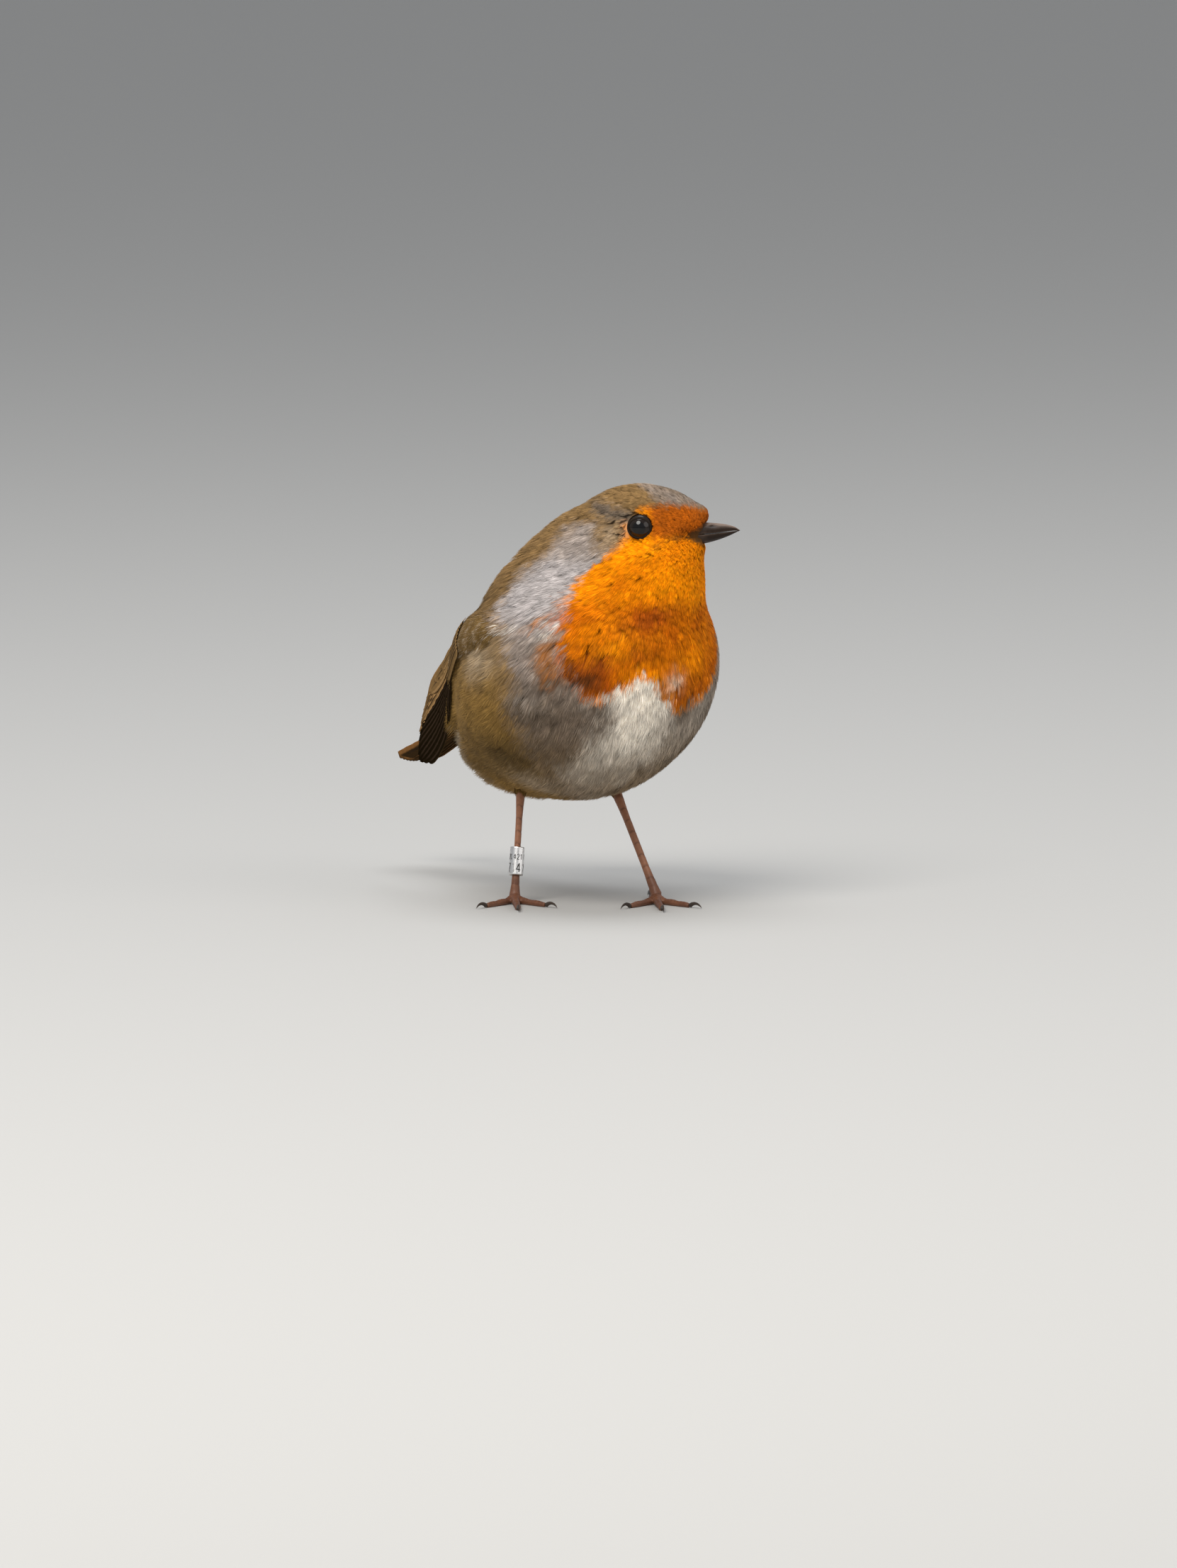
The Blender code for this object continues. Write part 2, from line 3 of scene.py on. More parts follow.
import bpy
import numpy as np
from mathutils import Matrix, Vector
from mathutils.bvhtree import BVHTree

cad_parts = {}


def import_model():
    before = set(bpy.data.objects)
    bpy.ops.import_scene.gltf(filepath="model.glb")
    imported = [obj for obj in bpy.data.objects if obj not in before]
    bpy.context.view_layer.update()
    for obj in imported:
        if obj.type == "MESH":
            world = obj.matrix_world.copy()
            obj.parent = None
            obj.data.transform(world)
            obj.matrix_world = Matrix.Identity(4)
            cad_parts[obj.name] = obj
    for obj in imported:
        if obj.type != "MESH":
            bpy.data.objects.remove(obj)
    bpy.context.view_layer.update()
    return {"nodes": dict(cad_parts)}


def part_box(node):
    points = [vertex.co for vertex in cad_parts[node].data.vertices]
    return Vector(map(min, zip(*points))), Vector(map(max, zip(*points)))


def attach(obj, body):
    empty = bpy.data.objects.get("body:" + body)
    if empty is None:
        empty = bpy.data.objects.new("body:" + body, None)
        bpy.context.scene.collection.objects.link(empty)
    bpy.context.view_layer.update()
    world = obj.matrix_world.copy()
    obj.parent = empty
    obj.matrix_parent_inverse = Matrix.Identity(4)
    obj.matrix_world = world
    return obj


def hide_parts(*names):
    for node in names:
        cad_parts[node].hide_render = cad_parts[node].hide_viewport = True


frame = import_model()
scene = bpy.context.scene
rng = np.random.default_rng(11)
mm = 0.001

# lengths are in millimetres from a point on the floor between the bird's feet
bird = {
    "headAt": (17.0, 5.2, 87.5),  # head's centre
    "eyeAhead": 1.1,  # the eyes sit this far in front of it
    "bodyCentre": (6.0, 1.5, 64.0),  # every part of the skin can be seen from here
}


def unit(v):
    return v / np.maximum(np.linalg.norm(v, axis=-1, keepdims=True), 1e-9)


def dot(a, b):
    return (a * b).sum(-1)


def ease(low, high, x):  # 0 at low, 1 at high, smooth between
    t = np.clip((x - low) / (high - low), 0, 1)
    return t * t * (3 - 2 * t)


def mound(x, wide):  # a soft peak, 1 where x is 0
    return np.exp(-((x / wide) ** 2))


def spotAt(x, y, atX, atY, wide, tall):  # the same over a plane
    return np.exp(-(((x - atX) / wide) ** 2) - ((y - atY) / tall) ** 2)


def boxCentre(node):
    low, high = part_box(node)
    return (np.array(low) + np.array(high)) / 2 / mm


eyesAt = {side: boxCentre("eye_" + side) for side in ("left", "right")}
leftward = unit(eyesAt["left"] - eyesAt["right"])
ahead = np.array((leftward[1], -leftward[0], 0.0))
headAxes = np.stack([ahead, leftward, np.array((0.0, 0.0, 1.0))], axis=1)
headAt = np.array(bird["headAt"])
origin = (eyesAt["left"] + eyesAt["right"]) / 2 - ahead * bird["eyeAhead"] - headAt
eyesAt = {side: at - origin for side, at in eyesAt.items()}


def fromHead(forward, left, up):
    return headAt + headAxes @ np.array((forward, left, up), float)


def toHead(places):  # forward, left and up of the head's centre
    return (places - headAt) @ headAxes


print("frame read, head turned", round(float(np.degrees(np.arctan2(ahead[1], ahead[0]))), 1), "degrees")


# meshes as arrays of points and triangles
def readMesh(mesh):
    co = np.empty(len(mesh.vertices) * 3, np.float32)
    mesh.vertices.foreach_get("co", co)
    mesh.calc_loop_triangles()
    corners = np.empty(len(mesh.loop_triangles) * 3, np.int32)
    mesh.loop_triangles.foreach_get("vertices", corners)
    return co.reshape(-1, 3).astype(float) / mm - origin, corners.reshape(-1, 3)


def solidMesh(node):  # a solid of the frame with its corners welded
    points, triangles = readMesh(frame["nodes"][node].data)
    _, first, weld = np.unique(np.round(points, 3), axis=0, return_index=True, return_inverse=True)
    return points[first], weld.reshape(-1)[triangles]


def pointNormals(points, triangles):
    a, b, c = (points[triangles[:, k]] for k in range(3))
    facing = np.cross(b - a, c - a)
    total = np.zeros_like(points)
    for i in range(3):
        total[:, i] = sum(np.bincount(triangles[:, k], facing[:, i], len(points)) for k in range(3))
    return unit(total)


def joined(parts):
    points, triangles, count = [], [], 0
    for p, t in parts:
        points.append(p)
        triangles.append(t + count)
        count += len(p)
    return np.concatenate(points), np.concatenate(triangles)


def ellipsoid(at, half, axes, rings=24, spokes=32):
    tilt = np.linspace(0, np.pi, rings + 1)[1:-1]
    around = np.arange(spokes) * 2 * np.pi / spokes
    t, a = np.meshgrid(tilt, around, indexing="ij")
    shell = np.stack([np.sin(t) * np.cos(a), np.sin(t) * np.sin(a), np.cos(t)], axis=-1).reshape(-1, 3)
    shell = np.concatenate([shell, [(0, 0, 1), (0, 0, -1)]])
    faces = []
    for r in range(rings - 2):
        for s in range(spokes):
            n = (s + 1) % spokes
            a0, a1, b0, b1 = r * spokes + s, r * spokes + n, (r + 1) * spokes + s, (r + 1) * spokes + n
            faces += [(a0, b0, b1), (a0, b1, a1)]
    top, bottom, last = len(shell) - 2, len(shell) - 1, (rings - 2) * spokes
    for s in range(spokes):
        n = (s + 1) % spokes
        faces += [(top, s, n), (bottom, last + n, last + s)]
    return np.array(at) + (shell * np.array(half)) @ np.array(axes).T, np.array(faces)


def arrayMesh(name, points, triangles, colours=None, uv=None, normals=None):  # in metres, in the frame
    mesh = bpy.data.meshes.new(name)
    mesh.vertices.add(len(points))
    mesh.vertices.foreach_set("co", ((points + origin) * mm).astype(np.float32).ravel())
    mesh.loops.add(triangles.size)
    mesh.loops.foreach_set("vertex_index", triangles.astype(np.int32).ravel())
    mesh.polygons.add(len(triangles))
    mesh.polygons.foreach_set("loop_start", np.arange(0, triangles.size, 3, dtype=np.int32))
    mesh.update(calc_edges=True)
    mesh.shade_smooth()
    for key, values in (colours or {}).items():
        layer = mesh.attributes.new(key, "FLOAT_COLOR", "POINT")
        rgba = np.ones((len(points), 4), np.float32)
        rgba[:, : values.shape[1]] = values
        layer.data.foreach_set("color", rgba.ravel())
    if uv is not None:
        layer = mesh.uv_layers.new(name="OFBake")
        layer.uv.foreach_set("vector", uv[triangles.ravel()].astype(np.float32).ravel())
    if normals is not None:
        mesh.normals_split_custom_set_from_vertices(normals.astype(np.float32))
    made = bpy.data.objects.new(name, mesh)
    scene.collection.objects.link(made)
    return made


def addPiece(name, points, triangles, finish, slot, replaces=(), colours=None, **layers):
    piece = arrayMesh(name, points, triangles, colours, **layers)
    piece.data.materials.append(finish)
    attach(piece, "root")
    if replaces:
        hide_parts(*replaces)


def facingOut(points, triangles):  # turned round when the mesh is inside out
    inside = np.linalg.det(points[triangles] - points.mean(0)).sum() < 0
    return triangles[:, ::-1] if inside else triangles


def largestIsland(points, triangles):
    label = np.arange(len(points))
    while True:
        lowest = label[triangles].min(axis=1)
        new = label.copy()
        for k in range(3):
            np.minimum.at(new, triangles[:, k], lowest)
        new = new[new]
        if (new == label).all():
            break
        label = new
    names, counts = np.unique(label, return_counts=True)
    keep = label == names[counts.argmax()]
    renumber = np.cumsum(keep) - 1
    return points[keep], renumber[triangles[keep[triangles[:, 0]]]]


def remeshed(parts, voxel, rounds, puff=0.0):  # puff closes the thin cuts between the parts
    swollen = [(p + puff * pointNormals(p, t), t) for p, t in parts]
    work = arrayMesh("work", *joined(swollen))
    remesh = work.modifiers.new("even", "REMESH")
    remesh.mode, remesh.voxel_size = "VOXEL", voxel * mm
    smooth = work.modifiers.new("soften", "SMOOTH")
    smooth.factor, smooth.iterations = 0.5, rounds
    graph = bpy.context.evaluated_depsgraph_get()
    mesh = bpy.data.meshes.new_from_object(work.evaluated_get(graph))
    points, triangles = largestIsland(*readMesh(mesh))
    old = work.data
    bpy.data.objects.remove(work)
    bpy.data.meshes.remove(old)
    bpy.data.meshes.remove(mesh)
    return points - puff * pointNormals(points, triangles), triangles


def surfaceOf(points, triangles):
    tree = BVHTree.FromPolygons(points.tolist(), triangles.tolist())
    normals = pointNormals(points, triangles)
    return {"points": points, "triangles": triangles, "normals": normals, "tree": tree}


def smoothNormal(surface, places, index):
    corners = surface["triangles"][index]
    a, b, c = (surface["points"][corners[:, k]] for k in range(3))
    ab, ac, ap = b - a, c - a, places - a
    bb, bc, cc, pb, pc = dot(ab, ab), dot(ab, ac), dot(ac, ac), dot(ap, ab), dot(ap, ac)
    area = np.maximum(bb * cc - bc * bc, 1e-12)
    v, w = (cc * pb - bc * pc) / area, (bb * pc - bc * pb) / area
    na, nb, nc = (surface["normals"][corners[:, k]] for k in range(3))
    return unit((1 - v - w)[:, None] * na + v[:, None] * nb + w[:, None] * nc)


def nearestOn(surface, places):
    found = [surface["tree"].find_nearest(p) for p in places.tolist()]
    at = np.array([f[0][:] for f in found])
    index = np.array([f[2] for f in found])
    return at, smoothNormal(surface, at, index)


# shader building
def feed(tree, node, sockets):  # links a socket, or sets a plain value
    for key, value in sockets.items():
        if isinstance(value, bpy.types.NodeSocket):
            tree.links.new(value, node.inputs[key])
        else:
            node.inputs[key].default_value = value
    return node.outputs


def put(tree, kind, sockets=None, **settings):
    made = tree.nodes.new("ShaderNode" + kind)
    for key, value in settings.items():
        setattr(made, key, value)
    return feed(tree, made, sockets or {})


def maths(tree, operation, a, b=0.0, c=0.0, clamp=False):
    return put(tree, "Math", {0: a, 1: b, 2: c}, operation=operation, use_clamp=clamp)[0]


def times(tree, a, b):
    return maths(tree, "MULTIPLY", a, b)


def plus(tree, a, b, clamp=False):
    return maths(tree, "ADD", a, b, clamp=clamp)


def swingOf(tree, value, share):  # a value from 0 to 1, made to swing about 0
    return times(tree, maths(tree, "SUBTRACT", value, 0.5), share)


def remap(tree, value, low, high, toLow, toHigh):
    sockets = {0: value, 1: low, 2: high, 3: toLow, 4: toHigh}
    return put(tree, "MapRange", sockets, interpolation_type="SMOOTHSTEP")[0]


def mixColour(tree, share, a, b, blend="MIX"):
    return put(tree, "Mix", {0: share, 6: a, 7: b}, data_type="RGBA", blend_type=blend)[2]


def shaded(tree, colour, shade):
    grey = put(tree, "CombineColor", {0: shade, 1: shade, 2: shade})[0]
    return mixColour(tree, 1.0, colour, grey, "MULTIPLY")


def channels(tree, colour):
    return put(tree, "SeparateColor", {0: colour})


def attribute(tree, name):
    return put(tree, "Attribute", attribute_name=name)["Color"]


def noise(tree, scale, detail, roughness=0.5, place=None):
    place = place or put(tree, "TexCoord")["Object"]
    sockets = {"Vector": place, "Scale": scale, "Detail": detail, "Roughness": roughness}
    return put(tree, "TexNoise", sockets)[0]


def newGroup(name, inputs):  # a single number makes a value socket, a tuple a colour
    tree = bpy.data.node_groups.new(name, "ShaderNodeTree")
    for label, value in inputs.items():
        kind = "NodeSocketColor" if isinstance(value, tuple) else "NodeSocketFloat"
        tree.interface.new_socket(label, in_out="INPUT", socket_type=kind).default_value = value
    tree.interface.new_socket("Colour", in_out="OUTPUT", socket_type="NodeSocketColor")
    tree.interface.new_socket("Height", in_out="OUTPUT", socket_type="NodeSocketFloat")
    return tree, tree.nodes.new("NodeGroupInput").outputs, tree.nodes.new("NodeGroupOutput")


def newMaterial(name, fixed):
    made = bpy.data.materials.new(name)
    made.use_nodes = True
    shader = made.node_tree.nodes["Principled BSDF"]
    feed(made.node_tree, shader, fixed)
    return made, made.node_tree, shader


def bump(tree, shader, height, strength, distance):
    out = put(tree, "Bump", {"Height": height, "Strength": strength, "Distance": distance * mm})
    feed(tree, shader, {"Normal": out[0]})


def useGroup(tree, shader, group, sockets, relief, depth):  # a group gives the colour and the relief
    node = tree.nodes.new("ShaderNodeGroup")
    node.node_tree = group
    out = feed(tree, node, sockets)
    feed(tree, shader, {"Base Color": out["Colour"]})
    bump(tree, shader, out["Height"], relief, depth)


def hue(r, g, b):
    return (r, g, b, 1.0)


# plumage colours: masks in three attributes choose between them
plumageTint = {
    "Olive": hue(0.25, 0.148, 0.058),
    "Grey": hue(0.47, 0.425, 0.41),
    "Tawny": hue(0.27, 0.155, 0.042),
    "White": hue(0.93, 0.85, 0.73),
    "Orange": hue(0.53, 0.098, 0.001),
    "Glow": hue(0.96, 0.31, 0.001),
    "Dark": hue(0.042, 0.028, 0.013),
}
# Root darkens each barb towards its root: painted shade between the feathers; Feather, Strand and Mottle
# vary the tone at random
plumageToneAndRootShade = {"Root": 0.38, "Feather": 0.34, "Strand": 0.50, "Mottle": 0.44}


def plumageGroup():
    inputs = {"Marks A": hue(0, 0, 0), "Marks B": hue(0, 0, 0), "Strand": hue(1, 0.5, 0.5), **plumageTint}
    inputs.update({name + " Share": value for name, value in plumageToneAndRootShade.items()})
    tree, given, result = newGroup("plumageColour", inputs)
    orange, glow, grey = channels(tree, given["Marks A"])
    tawny, white, dark = channels(tree, given["Marks B"])
    along, feather, strand = channels(tree, given["Strand"])
    breast = mixColour(tree, glow, given["Orange"], given["Glow"])
    colour = mixColour(tree, grey, given["Olive"], given["Grey"])
    colour = mixColour(tree, tawny, colour, given["Tawny"])
    colour = mixColour(tree, white, colour, given["White"])
    colour = mixColour(tree, orange, colour, breast)
    colour = mixColour(tree, dark, colour, given["Dark"])
    # painted shade: barbs darken towards their roots by Root Share
    root = maths(tree, "SUBTRACT", 1.0, given["Root Share"])
    shade = remap(tree, along, 0.05, 0.75, root, 1.04)
    mottle = noise(tree, 260.0, 4.0, 0.6)
    for name, value in (("Feather", feather), ("Strand", strand), ("Mottle", mottle)):
        shade = times(tree, shade, plus(tree, 1.0, swingOf(tree, value, given[name + " Share"])))
    feed(tree, result, {"Colour": shaded(tree, colour, shade), "Height": noise(tree, 2600.0, 2.0)})
    return tree


plumageColour = plumageGroup()


def plumageMaterial(name, rootShade):
    fixed = {"Roughness": 0.9, "Sheen Weight": 0.02, "Sheen Roughness": 0.45, "Specular IOR Level": 0.06}
    made, tree, shader = newMaterial(name, fixed)
    sockets = {"Marks A": attribute(tree, "markA"), "Marks B": attribute(tree, "markB")}
    sockets.update({"Strand": attribute(tree, "strand"), "Root Share": rootShade})
    useGroup(tree, shader, plumageColour, sockets, 0.25, 0.05)
    return made


# the coat gets deep painted shade at the barbs' roots, the skin under it a little
coatMaterial = plumageMaterial("softPlumage", plumageToneAndRootShade["Root"])
skinMaterial = plumageMaterial("skinUnderPlumage", 0.1)

# the skin, and the outer reach of the coat
skinShape = {
    "voxel": 0.9,
    "coatShare": 0.27,  # coat's depth as a share of the feathers' length
    "facePlug": {"at": (7.7, 0, -0.8), "half": (7.0, 5.2, 6.4)},  # closes the pocket for the bill
    "browPlug": {"at": (11.9, 0, 2.3), "half": (4.1, 3.2, 3.0)},  # forehead feathers overhang the bill
    "gape": {"forward": (9.0, 12.5), "up": -2.3, "high": 1.5, "share": 0.40},  # face narrows at the bill
    "featherAt": (0, 5, 10, 18, 28, 42, 60, 95),  # distance from the bill's root
    "featherLong": (1.5, 1.9, 2.6, 4.0, 5.8, 7.4, 8.6, 9.6),
}
billRoot = fromHead(14.0, 0, -1.6)


def featherLength(places):
    away = np.linalg.norm(places - billRoot, axis=-1)
    return np.interp(away, skinShape["featherAt"], skinShape["featherLong"])


def pinchGape(points):  # draws the face in behind the bill's base
    gape = skinShape["gape"]
    forward, left, up = toHead(points).T
    pinch = gape["share"] * ease(*gape["forward"], forward) * mound(up - gape["up"], gape["high"])
    return points - (left * pinch)[:, None] * leftward


bodyParts = [solidMesh(n) for n in ("trunk", "neck", "head")]
for plug in (skinShape["facePlug"], skinShape["browPlug"]):
    bodyParts.append(ellipsoid(fromHead(*plug["at"]), plug["half"], headAxes))
bodyParts += [ellipsoid(at, (3.0, 3.0, 3.0), np.eye(3)) for at in eyesAt.values()]
outlinePoints, outlineFaces = remeshed(bodyParts, skinShape["voxel"], 5, puff=0.25)
outline = surfaceOf(pinchGape(outlinePoints), outlineFaces)
dressedParts = bodyParts + [solidMesh(n) for n in ("wing_left", "wing_right", "tail")]
outerPoints, outerFaces = remeshed(dressedParts, skinShape["voxel"], 7, puff=0.25)
envelope = surfaceOf(pinchGape(outerPoints), outerFaces)
coatDepth = skinShape["coatShare"] * featherLength(outline["points"])
insetPoints = outline["points"] - outline["normals"] * coatDepth[:, None]
skin = surfaceOf(insetPoints, outline["triangles"])
print("skin", len(skin["triangles"]), "triangles, outer reach", len(envelope["triangles"]))

# markings, worked out from the place on the body: angles run round from the front, heights from the floor
twist = {  # the neck turns the front of the body towards the head's heading
    "height": (50, 56, 60, 64, 68, 71, 74, 76, 78, 80, 82, 84, 88),
    "turn": (0, 0, 1, 5, 14, 23, 32, 38, 43, 48, 52, 54, 55),
    "axisX": (1.0, 2.0, 3.0, 4.1, 5.9, 7.4, 9.2, 10.5, 11.7, 13.0, 14.2, 15.5, 17.2),
    "axisY": (0, 0, 0, 0.3, 0.8, 1.4, 2.1, 2.5, 3.0, 3.5, 4.0, 4.6, 5.3),
}
bib = {  # the orange reaches down to this height at each angle from the front
    "angle": (-102, -97, -93, -85, -72, -62, -52, -46, -42, -39, -34, -28, -23, -17, -11, -4, 2, 9, 18, 27,
              35, 43, 50, 54, 62, 72, 85, 93, 97, 102),
    "height": (80.1, 78.1, 76, 73.6, 70.7, 67.8, 65.5, 63, 59.5, 56.8, 54, 51, 50.2, 51.4, 53.2, 55.7, 54.2,
               49.6, 46.6, 47.6, 49.5, 53, 60.2, 63.7, 67.8, 70.7, 73.6, 76, 78.1, 80.1),
}
face = {  # in the head's own directions
    "edgeUp": (-17, -14, -11.5, -9.4, -7.4, -5.3, -3.5, -1.4, 0, 2, 3, 4, 6),
    "edgeForward": (-14.9, -14, -12.1, -10.2, -8.7, -5.5, -2.6, -1.9, 0.6, 1.6, 0.0, 0.4, 2.0),
    "browForward": (-3, 1, 6, 9, 12, 16),
    "browUp": (3.9, 4.8, 5.0, 4.7, 4.3, 3.7),
    "crownAhead": 11.4, "crownSlope": 1.15,  # the grey crown starts ahead of a slanting line
}
belly = {  # the pale middle at each height: its edge on the right, and how pale
    "height": (26, 31, 35, 38, 42, 46, 50, 56),
    "edge": (-52, -44, -37, -28, -22, -19, -23, -24),
    # paleness falls towards the bottom: painted shade on the underside
    "pale": (0.20, 0.38, 0.58, 0.70, 0.77, 0.80, 0.84, 0.84),
}
glowSpots = (  # angle and height, reach in angle and height, and how much brighter the orange is there: partly painted light and shade
    (-20, 62, 8, 3, 0.60), (23, 58.5, 10, 4, 0.6), (-3, 55, 9, 2.2, 0.6), (-36, 66, 10, 4, 0.35),
    (6, 71, 10, 4, 0.35), (-15, 68, 15, 3.2, -0.36), (-28, 55, 12, 4, -0.5), (36, 65, 10, 5, 0.15),
    (-34, 71, 14, 2.6, -0.24), (-60, 75.5, 14, 4.5, -0.42),
)
bibBlur = (-38, 56, 14, 6)  # where the bib's edge is softest
cheekGlow = (1.5, -4.7, 4.5, 1.7)  # under the eye, in the head's own directions
dullSpots = (  # the same for brown showing through
    (-29, 54, 10, 3.4, 0.56), (-38, 56.5, 7, 3.5, 0.46), (-15, 68, 12, 2.6, 0.26), (7, 51, 4, 2.4, 0.30),
    (22, 50, 8, 3.0, 0.30), (-10, 64, 30, 5.0, 0.05), (-23, 59, 6, 2.6, 0.22), (-8, 60, 6, 3.0, 0.14),
    (-27, 55, 6, 2.4, 0.2),
)
flankSpots = (  # darker and lighter clouds over the grey and brown of the flanks
    (-52, 45.5, 20, 2.4, 0.26), (-57, 49.4, 9, 1.7, -0.22), (-62, 61.5, 7, 2.6, 0.26),
    (-46, 53, 8, 3.2, 0.24), (-58, 38, 14, 3, 0.18), (-82, 35, 16, 3.6, 0.36), (-40, 34, 7, 2.4, 0.14),
    (-88, 58, 13, 4.5, -0.4), (-21, 46.8, 6, 3.2, 0.27),
)
paleSpots = (  # and how much white shows
    (-88, 57.5, 13, 4.5, 0.24), (-4, 46, 5, 3.6, 0.2), (-57, 65, 3.2, 1.6, 0.5), (-56, 49.4, 8, 1.8, 0.18),
    (-21, 47, 6, 3.2, -0.3), (-75, 28, 24, 3.2, 0.26),
)
rustSpots = (
    (-71, 67.3, 4, 1.7, 0.9), (-51, 61, 3.8, 2.6, 0.95), (-46, 57.8, 4.4, 2.8, 0.95),
    (-42, 54.6, 5, 2.2, 0.9),
)
greySide = {  # how far round from the front the grey side reaches at each height
    "height": (22, 30, 38, 47, 56, 62.6, 65.5, 70.9, 74.1, 77.2, 81.4, 85.5, 90),
    "angle": (88, 78, 68, 66, 66, 76, 88, 122, 134, 143, 152, 160, 166),
    # the grey weakens lower down: partly the real buff flanks, partly painted shade
    "strongAt": (38, 46, 52, 58, 62, 66, 69),  # and how strong it is at each of these
    "strong": (0.32, 0.38, 0.48, 0.62, 0.56, 0.82, 1.0),
}
featherRun = unit(np.array((-0.75, 0.0, -0.66)))  # the way the back's feathers run


def wobble(places, size, seed=0.0):  # soft noise from -1 to 1
    p = places / size
    x, y, z = p[..., 0] + seed, p[..., 1] - 2 * seed, p[..., 2] + 3 * seed
    first = np.sin(x + 1.7 * np.sin(0.9 * y + 0.4)) * np.cos(y + 1.3 * np.sin(1.1 * z))
    second = np.sin(2.1 * z + 1.9 * np.sin(1.3 * x + 0.7)) * np.cos(2.3 * x - y)
    return 0.62 * first + 0.38 * second


def aroundAxis(places):  # angle in degrees from the front of the turned neck and body
    z = places[..., 2]
    x0, y0, turn = (np.interp(z, twist["height"], twist[key]) for key in ("axisX", "axisY", "turn"))
    angle = np.degrees(np.arctan2(places[..., 1] - y0, places[..., 0] - x0)) - turn
    return (angle + 180) % 360 - 180


def spotted(angle, z, spots):  # soft spots added up
    total = np.zeros_like(z)
    for *spot, amount in spots:
        total = total + amount * spotAt(angle, z, *spot)
    return total


def gapeTop(forward):  # the corner of the mouth opens as a wedge between forehead and chin feathers
    return np.interp(forward, (11.2, 15.0), (-1.9, 0.3))


def gapeLow(forward):
    return np.interp(forward, (11.2, 14.4), (-2.5, -4.1))


def survey(places):  # what the markings have to know about each place
    s = SimpleNamespace(places=places, z=places[..., 2], angle=aroundAxis(places))
    s.away = np.abs(s.angle)
    s.forward, _, s.up = np.moveaxis(toHead(places), -1, 0)
    s.onHead = ease(79.0, 83.0, s.z)
    s.clump = wobble(places, 1.5, 9.0)
    s.brow = np.interp(s.forward, face["browForward"], face["browUp"])
    s.eyeDistance = np.minimum(*[np.linalg.norm(places - at, axis=-1) for at in eyesAt.values()])
    sideReach = np.interp(s.z, greySide["height"], greySide["angle"])
    s.behind = s.away - sideReach + 5.0 * wobble(places, 3.5, 2.0)  # beyond the grey side, in degrees
    s.rear = ease(-24, -36, places[..., 0])
    return s


def markBib(s):  # orange, brighter on throat and upper breast and burnt lower down, partly painted light and shade; burnt too on the forehead
    ragged = 1.3 * wobble(s.places, 2.4) + 0.7 * wobble(s.places, 0.9, 3.0)
    inBody = s.z - np.interp(s.angle, bib["angle"], bib["height"], left=140, right=140)
    faceEdge = np.interp(s.up, face["edgeUp"], face["edgeForward"])
    inHead = np.minimum(s.forward - faceEdge, 0.9 * (s.brow - s.up))
    inside = inBody * (1 - s.onHead) + np.clip(inHead, -8, 8) * s.onHead + ragged * (1 - 0.6 * s.onHead)
    cheekEdge = s.onHead * (s.forward < 0) * ease(-1, -4, s.up)
    soften = 0.9 + 1.0 * cheekEdge + 1.1 * spotAt(s.angle, s.z, *bibBlur)
    s.orange = ease(-soften, soften, inside)
    # brighter from the throat up and at the listed spots: partly painted light, with painted shade on the
    # lower bib
    bright = 0.30 + 0.66 * ease(68, 74, s.z) * (1 - 0.35 * ease(78, 82, s.z))
    bright = bright + spotted(s.angle, s.z, glowSpots) + 0.16 * s.clump
    bright = bright - 0.14 * np.clip(wobble(s.places, 3.1, 5.0), 0, 1)
    bright = bright + 0.5 * mound(inside, 1.2) * ease(-34, -20, s.angle) * (1 - s.onHead)
    bright = bright + 0.8 * spotAt(s.forward, s.up, *cheekGlow) * s.onHead
    s.burnt = ease(-3.2, -0.6, s.up) * ease(2.5, 5.0, s.forward) * s.onHead
    s.bright = np.clip(bright * (1 - s.burnt) + 0.12 * s.burnt, 0, 1)


def markGrey(s):  # side of neck and breast, running up behind the cheek and over the brow
    grey = (1 - ease(-9, 9, s.behind)) * np.interp(s.z, greySide["strongAt"], greySide["strong"])
    grey = grey * (1 - 0.35 * ease(78, 83, s.z)) * (1 - ease(80, 86, s.z) * ease(-10.5, -7.5, s.forward))
    nape = ease(0.2, 2.2, s.up + 0.5 * s.clump) * s.onHead
    grey = grey * (1 - nape)
    crownLine = s.forward - face["crownAhead"] + face["crownSlope"] * s.up
    crownLine = crownLine + 0.8 * wobble(s.places, 1.5, 4.0)
    overBrow = ease(-0.6, 0.9, s.up - s.brow) * ease(-1.3, 1.3, crownLine) * ease(80, 85, s.z)
    s.grey = np.maximum(grey, (0.41 + 0.14 * s.clump) * overBrow)


def markFlank(s):  # warm brown behind the grey, below the wing, and low on the body, partly painted shade
    tawny = ease(-10, 10, s.behind + 5 * wobble(s.places, 4.0, 6.0)) * (1 - ease(59, 66, s.z))
    tawny = tawny * (1 - s.rear) + 0.55 * s.rear * (1 - ease(42, 50, s.z))
    # tawny low on the body and sides: the buff of the lower flanks, deepened as painted shade
    lowSide = ease(48, 68, s.away) * (1 - ease(34, 43, s.z))
    low = np.maximum(0.6 * (1 - ease(29, 44, s.z)), 0.95 * lowSide)
    s.tawny = np.maximum(tawny, low * (1 - s.rear))


